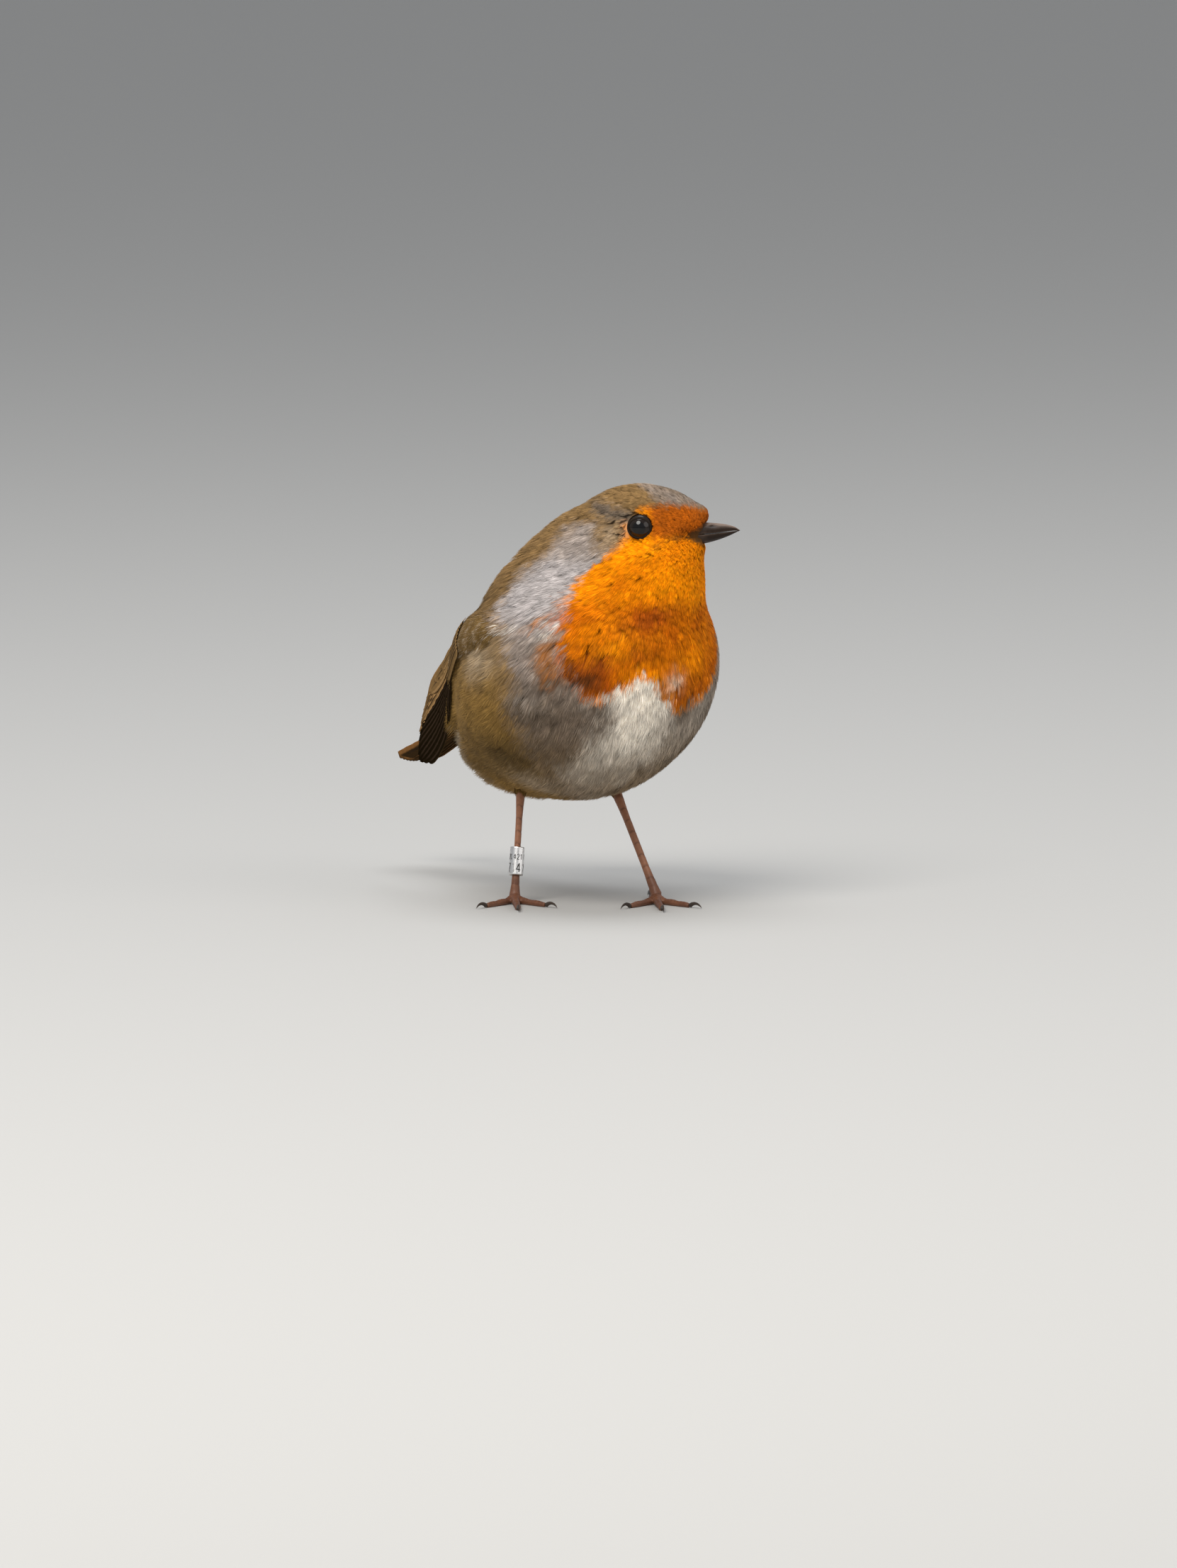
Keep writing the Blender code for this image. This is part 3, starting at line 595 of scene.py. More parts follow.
def markBelly(s):  # pale belly, its ridge and the fringe under the tail
    # the pale share from the table drops lower down as painted shade
    edge, pale = (np.interp(s.z, belly["height"], belly[key]) for key in ("edge", "pale"))
    stray = 6 * wobble(s.places, 2.4, 7.0)
    strayed = s.angle + stray
    middle = ease(-11, 11, s.angle - edge + stray) * (1 - 0.62 * ease(8, 26, strayed))
    middle = middle * (1 - ease(38, 58, strayed))
    ridge = 0.42 * mound(s.angle + 5 + 0.4 * stray, 6.5) * ease(33, 43, s.z)
    white = (middle * pale + ridge + 0.08 * s.clump * middle) * (1 - ease(55, 60, s.z))
    tailward = s.rear * (1 - ease(33, 41, s.z))
    white = np.clip(np.maximum(white, 0.55 * tailward), 0, 1)
    vent = ease(-15, -23, s.places[..., 0]) * ease(39, 36, s.z) * ease(-100, -112, -s.away)
    s.white = np.clip(np.maximum(white, (0.24 + 0.2 * s.clump) * vent), 0, 1)


def markPatches(s):  # a blush under the bib, rust beyond its edge, pale clouds and the seam above the wing
    blush = spotAt(s.angle, s.z, 12.5, 53.4, 4.2, 2.2)
    s.orange, s.bright = s.orange * (1 - 0.72 * blush), np.clip(s.bright + 0.7 * blush, 0, 1)
    white = np.maximum(s.white, 0.66 * blush)
    rust = spotted(-s.away, s.z, rustSpots) * ease(-1.2, 0.2, s.clump)
    s.orange, s.tawny = np.maximum(s.orange, 0.52 * rust), np.maximum(s.tawny, 0.9 * rust)
    white = np.clip(white + spotted(-s.away, s.z, paleSpots) * (1 - 0.6 * s.orange), 0, 1)
    seam = mound(s.z - 61.5 - 0.22 * (96 - s.away), 0.5) * ease(72, 79, s.away)
    seam = seam * (1 - ease(93, 98, s.away))
    s.white = np.maximum(white, 0.8 * seam)


def markShadeAndBrown(s):  # painted shade low on the front, sides and lower belly, with brown in the bib and streaks along the mantle
    # painted shade: darker low on the breast's sides and flanks below the grey, and over the lower belly
    dark = 0.38 * (1 - ease(-8, 8, s.behind)) * (1 - ease(50, 62, s.z))
    dark = dark * (1 - s.white) * (1 - 0.8 * s.orange)
    dark = np.maximum(dark, 0.44 * (1 - ease(32, 46, s.z)) * ease(24, 32, s.z) * (1 - s.white))
    clouds = spotted(-s.away, s.z, flankSpots)
    dark = np.clip(dark + clouds * (1 - 0.7 * s.orange) * (1 - s.white), 0, 1)
    mantle = ease(0, 12, s.behind) * ease(58, 66, s.z) * (1 - ease(69, 77, s.z))
    run = dot(s.places, featherRun)[..., None] * featherRun
    streaky = wobble(s.places - 0.8 * run, 0.8, 20.0)
    dark = np.maximum(dark, np.clip(0.40 + 0.34 * streaky + 0.1 * s.clump, 0, 1) * mantle)
    s.dark = np.maximum(dark, spotted(s.angle, s.z, dullSpots) * s.orange * (1 - s.onHead))


def markHead(s):  # streak behind the eye, brow, lores, gape and the rim of the eye's opening
    streak = mound(s.up - 2.0 + 0.32 * (s.forward + 0.8), 1.25)
    streak = streak * ease(-11.5, -7.5, s.forward) * (1 - ease(-2.0, 0.0, s.forward))
    dark = np.maximum(s.dark, (0.76 + 0.14 * s.clump) * streak * ease(80, 84, s.z))
    s.grey = np.maximum(s.grey, 0.5 * streak * ease(80, 84, s.z))
    dark = dark + (0.22 + 0.14 * s.clump) * spotAt(s.forward, s.up, 1.2, 4.3, 3.0, 1.3)
    lores = spotAt(s.forward, s.up + 2.2 - 0.05 * (s.forward - 9), 9.6, 0, 2.2, 0.55)
    underLid = spotAt(s.forward, s.up, 5.6, -3.9, 0.8, 0.6) * s.onHead
    inGape = np.minimum(gapeTop(s.forward) - s.up, s.up - gapeLow(s.forward)) + 0.25 * s.clump
    gape = ease(-0.45, 0.25, inGape) * ease(10.8, 11.8, s.forward)
    rim = 1 - ease(3.1, 3.6, s.eyeDistance)
    for layer in (0.6 * lores, (0.30 + 0.1 * s.clump) * s.burnt, 0.5 * underLid, 0.93 * gape, 0.85 * rim):
        dark = np.maximum(dark, layer)
    s.dark = dark


def markCheek(s):  # buff behind the eye, and a pale crescent round it
    cheek = spotAt(s.forward, s.up, -5.0, -1.4, 4.0, 4.0) * s.onHead
    s.white = np.maximum(s.white, (0.09 + 0.06 * s.clump) * cheek)
    s.grey = s.grey * (1 - 0.7 * cheek)
    behindEye = 1 - ease(-1.6, 1.0, s.forward)
    ring = mound(s.eyeDistance - 4.0 - 0.1 * behindEye, 0.5 + 0.15 * behindEye)
    ring = ring * (1 - ease(0.8, 2.4, s.up)) * (1 - ease(2.8, 4.4, s.forward))
    s.white, s.bright = np.maximum(s.white, 0.55 * ring), np.maximum(s.bright, ring)
    s.orange, s.dark = np.maximum(s.orange, 0.82 * ring), s.dark * (1 - 0.9 * ring)


def markFlecks(s):  # small and darker, everywhere but on the white and the throat
    fleck = ease(0.05, 0.8, wobble(s.places, 0.75, 12.0)) * (1 - 0.75 * s.white)
    s.dark = s.dark + 0.20 * fleck * (1 - 0.8 * s.orange * ease(68, 74, s.z))


marksInOrder = (
    markBib, markGrey, markFlank, markBelly, markPatches, markShadeAndBrown, markHead, markCheek, markFlecks,
)


def markings(places):  # orange, bright and grey in one colour, tawny, white and dark in another
    s = survey(places)
    for mark in marksInOrder:
        mark(s)
    layers = (s.orange, s.bright, s.grey), (s.tawny, s.white, s.dark)
    return tuple(np.clip(np.stack(three, axis=-1), 0, 1) for three in layers)


def skinPlace(places):  # where a spot of skin lies on its flat unwrap, from 0 to 1 both ways
    d = unit(places - np.array(bird["bodyCentre"]))
    d = d / np.abs(d).sum(-1, keepdims=True)
    flat = d[..., :2].copy()
    signs = np.where(flat >= 0, 1.0, -1.0)
    folded = (1 - np.abs(flat[..., ::-1])) * signs
    flat = np.where(d[..., 2:3] < 0, folded, flat)
    return 0.5 + 0.48 * flat


skinA, skinB = markings(outline["points"])
plain = np.tile((0.35, 0.5, 0.5), (len(skin["points"]), 1))
addPiece(
    "skin", skin["points"], skin["triangles"], skinMaterial, "plumage_pale", ("trunk", "neck", "head"),
    colours={"markA": skinA, "markB": skinB, "strand": plain}, uv=skinPlace(skin["points"]),
)

lie = {
    "source": (13.0, 0, -1.2),  # feathers part at the bill's root, from the head's centre
    "sink": (-82.0, 0, 26.0),  # and run towards the tail
    "faceReach": 17.0,  # how far the bill's root leads
    "keep": 0.22,  # how much of its lead stays on the body
    "eyeClear": 3.3, "eyeSoft": 1.5,  # where they bend round an eye
    "eyeOpen": 2.68, "eyeTaller": 1.14,  # no barb lies inside this of an eye's axis
}
lieSource, lieSink = fromHead(*lie["source"]), np.array(lie["sink"])


def lieOf(places, normals):
    away = places - lieSource
    distance = np.linalg.norm(away, axis=-1, keepdims=True)
    lead = lie["keep"] + (1 - lie["keep"]) * mound(distance, lie["faceReach"])
    heading = lead * unit(away) + (1 - lead) * unit(lieSink - places)
    # breast and flank feathers hang down a little more than straight back
    x, z = places[..., 0:1], places[..., 2:3]
    front = ease(-8, 24, x) * (1 - lead) * (1 - ease(62, 84, z) * 0.5)
    heading = heading + front * np.array((0, 0, -0.75))
    # over the shoulders they spread out to cover the wing's upper edge
    over = ease(50, 62, z) * (1 - ease(74, 84, z)) * (1 - ease(2, 14, x))
    heading = heading + over * places[..., 1:2] * np.array((0, 0.02, 0))
    for at in eyesAt.values():  # and round the eyes
        outwards = places - at
        reach = np.linalg.norm(outwards, axis=-1, keepdims=True)
        outwards = outwards / np.maximum(reach, 1e-6)
        inward = np.minimum(dot(heading, outwards)[..., None], 0)
        near = np.exp(-np.clip(reach - lie["eyeClear"], 0, None) / lie["eyeSoft"])
        heading = heading - outwards * inward * near * 1.15
    heading = heading - normals * dot(heading, normals)[..., None]
    return unit(heading)


coat = {
    "cover": 12.5,  # layers of feather over any spot
    "aspect": 0.46,  # width over length
    "steps": 5,  # straight lengths in a feather's curve
    "turn": 0.13,  # how far a feather may stray from the lie, in radians
    "overWing": 2.6,  # how far body feathers may lie over a wing's edge
    "overTail": 1.2,  # and over the tail's root
    "ventFluff": 1.8,  # how far the feathers under the tail stand off
    "rearLonger": 0.4,  # tail coverts are this much longer
    "barbs": ((0, 2.4, 11), (2.4, 4.6, 18), (4.6, 99, 28)),  # from this length to that, how many
    "shorter": (0.5, 2.9, 1.8),  # by this share round the eyes, from this far out, fading over this
    "depthMiss": (1.1, 1.2),  # no feather grows where the outer reach is this much off its depth
    "offBody": 0.75,  # farther off the outline than this, a feather lies over a wing or the tail
    "rearFrom": -33,  # behind this it is the tail
    "lift": 0.035, "lowLift": 0.9,  # barbs stand off by this share of their length, and more on the belly
}


def followLie(start, normal, length, stray, steps):
    centre, facing = [start], [normal]
    here, outward = start, normal
    sides = []
    for k in range(steps + 1):
        heading = lieOf(here, outward)
        across = np.cross(outward, heading)
        heading = heading * np.cos(stray)[:, None] + across * np.sin(stray)[:, None]
        sides.append(np.cross(outward, heading))
        if k < steps:
            here, outward = nearestOn(envelope, here + heading * (length / steps)[:, None])
            centre.append(here)
            facing.append(outward)
    return np.stack(centre, 1), np.stack(facing, 1), np.stack(sides, 1)


def alongPath(path, share):  # value of each feather's path at a share of its length
    steps = path.shape[1] - 1
    spot = np.clip(share, 0, 1) * steps
    low = np.clip(spot.astype(int), 0, steps - 1)
    part = (spot - low)[..., None]
    rows = np.arange(len(path)).reshape((-1,) + (1,) * (share.ndim - 1))
    return path[rows, low] * (1 - part) + path[rows, low + 1] * part


def onBill(places):  # the wedge from the gape to where forehead and chin feathers end
    forward, _, up = toHead(places).T
    return (forward > 12.2) & (up < gapeTop(forward)) & (up > gapeLow(forward))


def clearOf(spots):  # false over an eye or the bill
    clear = ~onBill(spots)
    for which, at in eyesAt.items():
        rel = spots - at
        outward = dot(rel, leftward * (1 if which == "left" else -1)) > 0
        clear &= ~((np.hypot(dot(rel, ahead), lie["eyeTaller"] * rel[:, 2]) < lie["eyeOpen"]) & outward)
    return clear


barb = {  # shares are of the feather's length, or of a barb's own
    "wide": np.array((0.75, 1.0, 0.0)),  # a barb's width at its root, middle and tip
    "rows": np.array((0.0, 0.5, 1.0)),
    "corners": [0, 0, 1, 1, 2],  # two points at the root, two in the middle and one at the tip
    "faces": np.array(((0, 3, 1), (0, 2, 3), (2, 4, 3))),
    "roundTip": 0.30,  # how far the outer barbs fall short of the middle one
    "fanOut": 1.35,
    "patch": 0.003,  # size of a feather on the flat map
}


def fanFeathers(path, root, length, reach, width, barbs, thick, depth, fluff, marks=None):
    # barbs fan out from the shaft and end along a rounded tip
    count, rows, corners = len(length), barb["rows"], barb["corners"]
    fan = np.linspace(-1, 1, barbs)[None, :] + rng.uniform(-0.6, 0.6, (count, barbs)) / barbs
    fan = np.clip(fan, -1, 1)
    tipAlong = (1 - barb["roundTip"] * fan**2) * rng.uniform(0.84, 1.0, (count, barbs))
    tipAcross = np.sin(fan * barb["fanOut"]) / np.sin(barb["fanOut"]) * width[:, None] / 2
    baseAlong = (0.03 + 0.45 * (1 - np.abs(fan))) * rng.uniform(0.7, 1.0, (count, barbs))
    along = baseAlong[..., None] + (tipAlong - baseAlong)[..., None] * rows
    sideways = tipAcross[..., None] * (0.16 + 0.84 * rows**0.8)
    share = along * (reach / length)[:, None, None]
    mid, out, cross = (alongPath(p, share) for p in path)
    roll = rng.uniform(-0.45, 0.45, (count, barbs, 1, 1))
    lift = rng.uniform(-0.7, 0.3, (count, barbs, 1)) * fluff[:, None, None] * along
    sink = depth[:, None, None] * (1 - along) ** 1.5 - lift
    half = 0.5 * thick[:, None, None] * barb["wide"]
    edge = cross * np.cos(roll) + out * np.sin(roll)
    spine = mid + cross * sideways[..., None] - out * sink[..., None]
    lowSide, highSide = spine - edge * half[..., None], spine + edge * half[..., None]
    sides = (lowSide[:, :, 0], highSide[:, :, 0], lowSide[:, :, 1], highSide[:, :, 1], spine[:, :, 2])
    points = np.stack(sides, 2)
    tilted = unit(out * np.cos(roll * 0.6) - cross * np.sin(roll * 0.6))
    alongs = along[:, :, corners]
    crosswise = sideways[:, :, corners] / width[:, None, None]
    featherTone = np.broadcast_to(rng.uniform(0, 1, (count, 1, 1)), alongs.shape)
    barbTone = np.broadcast_to(rng.uniform(0, 1, (count, barbs, 1)), alongs.shape)
    strand = np.stack([alongs, featherTone, barbTone], -1)
    spot = mid[:, :, 1] + cross[:, :, 1] * sideways[:, :, 1:2]
    strayed = rng.normal(0, 1, (count, 1, 3)) * 0.07 + rng.normal(0, 1, spot.shape) * 0.06
    marksA, marksB = (marks or markings)(spot + strayed * np.clip(length, 2, 9)[:, None, None])
    marksA, marksB = (np.repeat(m[:, :, None, :], len(corners), axis=2) for m in (marksA, marksB))
    flat = np.stack([crosswise * barb["patch"], (alongs - 0.5) * barb["patch"]], -1)
    flat = skinPlace(root)[:, None, None, :] + flat
    triangles = np.arange(count * barbs)[:, None, None] * len(corners) + barb["faces"]
    keep = clearOf(points[:, :, 4].reshape(-1, 3)) & clearOf(points[:, :, 2].reshape(-1, 3))
    layers = (points, marksA, marksB, strand, flat, tilted[:, :, corners])
    points, marksA, marksB, strand, flat, normals = (a.reshape(-1, a.shape[-1]) for a in layers)
    colours = {"markA": marksA, "markB": marksB, "strand": strand}
    return points, triangles[keep].reshape(-1, 3), colours, flat, normals


def compact(points, triangles, colours, uv, normals):
    used = np.zeros(len(points), bool)
    used[triangles.ravel()] = True
    renumber = np.cumsum(used) - 1
    colours = {key: values[used] for key, values in colours.items()}
    return points[used], renumber[triangles], colours, uv[used], normals[used]


def scatterRoots(cover):
    corners = skin["triangles"]
    a, b, c = (skin["points"][corners[:, k]] for k in range(3))
    area = np.linalg.norm(np.cross(b - a, c - a), axis=1) / 2
    middle = (a + b + c) / 3
    long = featherLength(middle)
    wanted = area * cover / (coat["aspect"] * long**2)
    total = np.cumsum(wanted)
    count = int(total[-1])
    pick = np.searchsorted(total, (np.arange(count) + rng.uniform(0, 1, count)) * total[-1] / count)
    pick = np.clip(pick, 0, len(corners) - 1)
    u, v = rng.uniform(0, 1, (2, count))
    flip = u + v > 1
    u, v = np.where(flip, 1 - u, u), np.where(flip, 1 - v, v)
    roots = a[pick] + (b - a)[pick] * u[:, None] + (c - a)[pick] * v[:, None]
    return roots, smoothNormal(skin, roots, pick)


coatSlots = {
    "coatFace": "plumage_orange", "coatCrown": "plumage_upper", "coatBack": "plumage_upper",
    "coatBreast": "plumage_orange", "coatBelly": "plumage_pale", "coatSideLeft": "plumage_pale",
    "coatSideRight": "plumage_pale",
}


def coatRegions(places):
    angle, z, left = np.abs(aroundAxis(places)), places[..., 2], places[..., 1] > 0
    onHead, front = z > 80, angle < 62
    behind = (angle > 100) & (z > 52) | (places[..., 0] < -28) & (z > 42)
    tests = {
        "coatFace": onHead & (np.linalg.norm(places - billRoot, axis=-1) < 17), "coatCrown": onHead,
        "coatBack": behind, "coatBreast": front & (z > 55), "coatBelly": front, "coatSideLeft": left,
        "coatSideRight": ~left,
    }
    free = np.ones(len(places), bool)
    for name, test in tests.items():  # each takes what the ones before it left
        yield name, test & free
        free &= ~test


def fans(path, root, length, reach, depth, fluff, marks=None):
    # short feathers get fewer barbs
    width = coat["aspect"] * length
    groups = []
    for low, high, barbs in coat["barbs"]:
        chosen = np.where((length >= low) & (length < high))[0]
        if not len(chosen):
            continue
        part = tuple(p[chosen] for p in path)
        thick = width[chosen] / barbs * 1.6 + 0.02
        groups.append(fanFeathers(
            part, root[chosen], length[chosen], reach[chosen], width[chosen], barbs, thick, depth[chosen],
            fluff[chosen], marks,
        ))
    points, triangles = joined([(g[0], g[1]) for g in groups])
    colours = {k: np.concatenate([g[2][k] for g in groups]) for k in groups[0][2]}
    uv, tilt = (np.concatenate([g[i] for g in groups]) for i in (3, 4))
    return compact(points, triangles, colours, uv, tilt)


def addCoat(name, parts, slot):
    points, triangles, colours, uv, normals = parts
    addPiece(name, points, triangles, coatMaterial, slot, colours=colours, uv=uv, normals=normals)
    print("  ", name, len(triangles), "triangles")
    return len(triangles)


coatThin = 1.0


def growCoat():
    roots, normals = scatterRoots(coat["cover"] * coatThin)
    rearward = ease(-26, -38, roots[:, 0])
    length = featherLength(roots) * rng.uniform(0.82, 1.16, len(roots))
    length = length * (1 + coat["rearLonger"] * rearward)
    expected = skinShape["coatShare"] * featherLength(roots)
    start, outward = nearestOn(envelope, roots + normals * expected[:, None])
    gap = np.linalg.norm(start - roots, axis=1)
    eyeGap = np.minimum(*[np.linalg.norm(roots - at, axis=1) for at in eyesAt.values()])
    share, nearest, fade = coat["shorter"]
    length = length * (1 - share * mound(eyeGap - nearest, fade))
    rays = zip(roots.tolist(), normals.tolist())
    hits = [envelope["tree"].ray_cast(Vector(root), Vector(normal)) for root, normal in rays]
    cast = np.array([h[3] if h[0] is not None else 0.0 for h in hits])
    castMiss, gapMiss = coat["depthMiss"]
    keep = (np.abs(cast - expected) < castMiss) & (gap < expected + gapMiss)
    keep = keep & (eyeGap > nearest) & ~onBill(roots)
    roots, length, start, outward, gap = (v[keep] for v in (roots, length, start, outward, gap))
    stray = rng.normal(0, coat["turn"], len(roots))
    path = followLie(start, outward, length, stray, coat["steps"])
    # feathers under the tail stand off in a soft fringe
    vent = ease(-5, -14, roots[:, 0]) * ease(40, 36, roots[:, 2])
    stand = coat["ventFluff"] * vent[:, None] * np.linspace(0, 1, coat["steps"] + 1) ** 1.6
    path = (path[0] + path[1] * stand[..., None], path[1], path[2])
    # how far along does each feather leave the body for a wing or the tail
    samples = path[0].reshape(-1, 3).tolist()
    off = np.array([outline["tree"].find_nearest(p)[3] for p in samples]).reshape(path[0].shape[:2])
    over = off - np.abs(stand) > coat["offBody"]
    first = np.where(over.any(1), over.argmax(1) / coat["steps"], 2.0)
    mayRun = np.where(roots[:, 0] < coat["rearFrom"], coat["overTail"], coat["overWing"])
    reach = np.minimum(length, first * length + mayRun)
    fluff = coat["lift"] * length * (1 + coat["lowLift"] * ease(38, 26, roots[:, 2]))
    total = 0
    for name, mask in coatRegions(roots):
        part = tuple(p[mask] for p in path)
        grown = fans(part, roots[mask], length[mask], reach[mask], gap[mask] + 0.1, fluff[mask])
        total += addCoat(name, grown, coatSlots[name])
    print("coat of", len(roots), "feathers,", total, "triangles")


growCoat()

# quills: thin vanes with a shaft, barbs and a fringe
quillTint = {
    "Web": hue(0.085, 0.052, 0.028),
    "Fringe": hue(0.30, 0.165, 0.062),
    "Shaft": hue(0.035, 0.022, 0.014),
}
quillWear = {"Fringe Width": 0.20, "Tip Spot": 0.0, "Tone Swing": 0.30}
grainScale = 50.0  # lengths along a quill are stored as shares of this


def quillGroup():
    inputs = {"Vane": hue(0.5, 0.5, 0.5), "Grain": hue(0, 0, 0), **quillTint, **quillWear}
    tree, given, result = newGroup("quillColour", inputs)
    along, outwards, tone = channels(tree, given["Vane"])
    run, side, _ = channels(tree, given["Grain"])
    jag = swingOf(tree, noise(tree, 420.0, 4.0), 0.16)
    across = plus(tree, outwards, jag)
    fringe = remap(tree, across, times(tree, given["Fringe Width"], 0.55), given["Fringe Width"], 1.0, 0.0)
    rim = remap(tree, across, 0.93, 0.99, 0.0, 0.5)
    tipward = plus(tree, along, jag)
    tip = remap(tree, tipward, 0.95, 0.99, 0.0, 0.75)
    spot = times(tree, remap(tree, tipward, 0.80, 0.90, 0.0, 1.0), given["Tip Spot"])
    spot = times(tree, spot, remap(tree, outwards, 0.45, 0.75, 1.0, 0.0))
    pale = maths(tree, "MAXIMUM", maths(tree, "MAXIMUM", fringe, rim), maths(tree, "MAXIMUM", tip, spot))
    colour = mixColour(tree, pale, given["Web"], given["Fringe"])
    middle = maths(tree, "ABSOLUTE", maths(tree, "SUBTRACT", side, 0.5))
    shaft = remap(tree, middle, 0.018, 0.045, 1.0, 0.0)
    shaft = times(tree, shaft, remap(tree, along, 0.80, 0.97, 0.85, 0.0))
    colour = mixColour(tree, shaft, colour, given["Shaft"])
    fine, wide = (maths(tree, "SINE", times(tree, run, 6.2832 * grainScale / gap)) for gap in (0.42, 1.9))
    shade = plus(tree, plus(tree, 1.0, swingOf(tree, tone, given["Tone Swing"])), times(tree, fine, 0.07))
    shade = plus(tree, plus(tree, shade, times(tree, wide, 0.04)), jag)
    height = plus(tree, times(tree, fine, 0.35), times(tree, shaft, 2.0))
    feed(tree, result, {"Colour": shaded(tree, colour, shade), "Height": height})
    return tree


quillColour = quillGroup()


def quillMaterial(name, web, fringe, fringeWidth, tipSpot=0.0):
    made, tree, shader = newMaterial(name, {"Roughness": 0.85, "Specular IOR Level": 0.0})
    sockets = {"Vane": attribute(tree, "vane"), "Grain": attribute(tree, "grain")}
    sockets.update({"Web": web, "Fringe": fringe, "Fringe Width": fringeWidth, "Tip Spot": tipSpot})
    useGroup(tree, shader, quillColour, sockets, 0.5, 0.05)
    return made


def vaneFaces(rows, wide):  # two grids of points joined round their rim
    count = (rows + 1) * wide
    r, c = (i.ravel() for i in np.meshgrid(np.arange(rows), np.arange(wide - 1), indexing="ij"))
    a, b, d, e = r * wide + c, r * wide + c + 1, (r + 1) * wide + c, (r + 1) * wide + c + 1
    tops = np.concatenate([np.stack([a, d, e], 1), np.stack([a, e, b], 1)])
    rim = [i * wide for i in range(rows + 1)] + [rows * wide + j for j in range(1, wide)]
    rim += [i * wide + wide - 1 for i in range(rows - 1, -1, -1)] + list(range(wide - 2, 0, -1))
    rim = np.array(rim)
    nextRim = np.roll(rim, -1)
    walls = np.stack([rim, rim + count, nextRim + count], 1), np.stack([rim, nextRim + count, nextRim], 1)
    return np.concatenate([tops, tops[:, ::-1] + count, *walls])


vane = {
    "columns": 4,  # to each side of the shaft
    "rootShare": 0.75, "rootFade": 0.05,  # the web starts this much narrower, and widens over this share
    "tipRound": (2.4, 0.55),
    "thinnest": 0.03,
    "sweep": 0.6,  # how far the web's edge trails behind the shaft, over its width
    "curl": 0.16, "shaftHigh": 0.05, "shaftWide": 0.12,
    "ruffle": 0.03, "rough": 0.02,
}


def vaneMesh(put3d, start, bend, end, outerWeb, innerWeb, depth, outerIsLow=True, rows=16, blunt=0.8,
             thick=0.14):
    # a closed thin vane along a bent shaft, given on a flat plan and laid on a surface by put3d
    start, bend, end = (np.array(p, float) for p in (start, bend, end))
    t = np.linspace(0, 1, rows + 1)[:, None]
    shaft = (1 - t) ** 2 * start + 2 * t * (1 - t) * bend + t**2 * end
    tangent = unit(2 * (1 - t) * (bend - start) + 2 * t * (end - bend))
    perp = np.stack([-tangent[:, 1], tangent[:, 0]], axis=1)
    long = np.concatenate([[0], np.cumsum(np.linalg.norm(np.diff(shaft, axis=0), axis=1))])
    across = np.linspace(-1, 1, 2 * vane["columns"] + 1)
    lowWeb, highWeb = (outerWeb, innerWeb) if outerIsLow else (innerWeb, outerWeb)
    web = np.where(across < 0, lowWeb, highWeb)
    grow = 1 - np.exp(-t / vane["rootFade"]) * vane["rootShare"]
    close = np.clip((t - blunt) / (1 - blunt), 0, 1)
    roundness, fullness = vane["tipRound"]
    profile = np.maximum(grow * (1 - close**roundness) ** fullness, vane["thinnest"])
    swing = across * web * profile
    back = np.abs(across) ** 1.2 * web * vane["sweep"] * profile * np.clip(t / 0.12, 0, 1)
    plan = shaft[:, None, :] + perp[:, None, :] * swing[..., None] - tangent[:, None, :] * back[..., None]
    waves = vane["ruffle"] * np.sin(long[:, None] * 1.7 + across * 3)
    ruffle = waves + vane["rough"] * rng.normal(0, 1, swing.shape)
    over = depth + vane["curl"] * across**2 + ruffle - vane["shaftHigh"] * mound(across, vane["shaftWide"])
    under = over + thick * (1 - 0.75 * across**2) * (1 - 0.5 * t)
    points = np.concatenate([put3d(plan, layer).reshape(-1, 3) for layer in (over, under)])
    outwards = (across + 1) / 2 if outerIsLow else (1 - across) / 2
    tone = rng.uniform(0, 1)
    spot = np.stack(np.broadcast_arrays(t, outwards[None, :], tone), -1).reshape(-1, 3)
    phase = (long[:, None] + np.abs(swing) * 0.8) / grainScale
    flat = np.broadcast_to(0.5 + across * web / 8.0, phase.shape)
    grain = np.stack([phase, flat, np.zeros_like(phase)], -1).reshape(-1, 3)
    layers = {"vane": np.tile(spot, (2, 1)), "grain": np.tile(grain, (2, 1))}
    return points, vaneFaces(rows, len(across)), layers


def addVanes(name, vanes, finish, slot, replaces=()):
    points, triangles = joined([(v[0], v[1]) for v in vanes])
    if np.linalg.det(points[vanes[0][1]] - points.mean(0)).sum() < 0:
        triangles = triangles[:, ::-1]
    colours = {key: np.concatenate([v[2][key] for v in vanes]) for key in ("vane", "grain")}
    addPiece(name, points, triangles, finish, slot, replaces, colours)


wing = {
    "wrist": (8.0, 65.0), "tip": (-51.5, 28.8),  # x and z of the line that a folded wing lies along
    "edgeAt": (0, 7, 15, 24, 33, 42, 50, 60, 69.6),  # along that line, and how far the edges lie from it
    "lowEdge": (-1.8, -0.8, 0.8, 1.6, -1.8, -6.2, -8.0, -5.2, -0.7),
    "highEdge": (3.6, 7.8, 10.6, 12.4, 13.3, 13.0, 11.0, 7.4, 0.8),
    "softCoverts": 520,
    "fitAlong": (35, 60), "fitUp": (12, 34),  # scale of the fitted height, and how many lines it is read on
}
wristPoint, wingTip = np.array(wing["wrist"]), np.array(wing["tip"])
wingLong = np.linalg.norm(wingTip - wristPoint)
wingAlong = (wingTip - wristPoint) / wingLong
wingUp = np.array((wingAlong[1], -wingAlong[0]))


def wingEdge(edge, s):
    return np.interp(s, wing["edgeAt"], wing[edge])


def wingTerms(s, v):
    a, b = s / wing["fitAlong"][0] - 1, v / wing["fitUp"][0]
    return np.stack([a**i * b**j for i in range(6) for j in range(4) if i + j < 7], axis=-1)


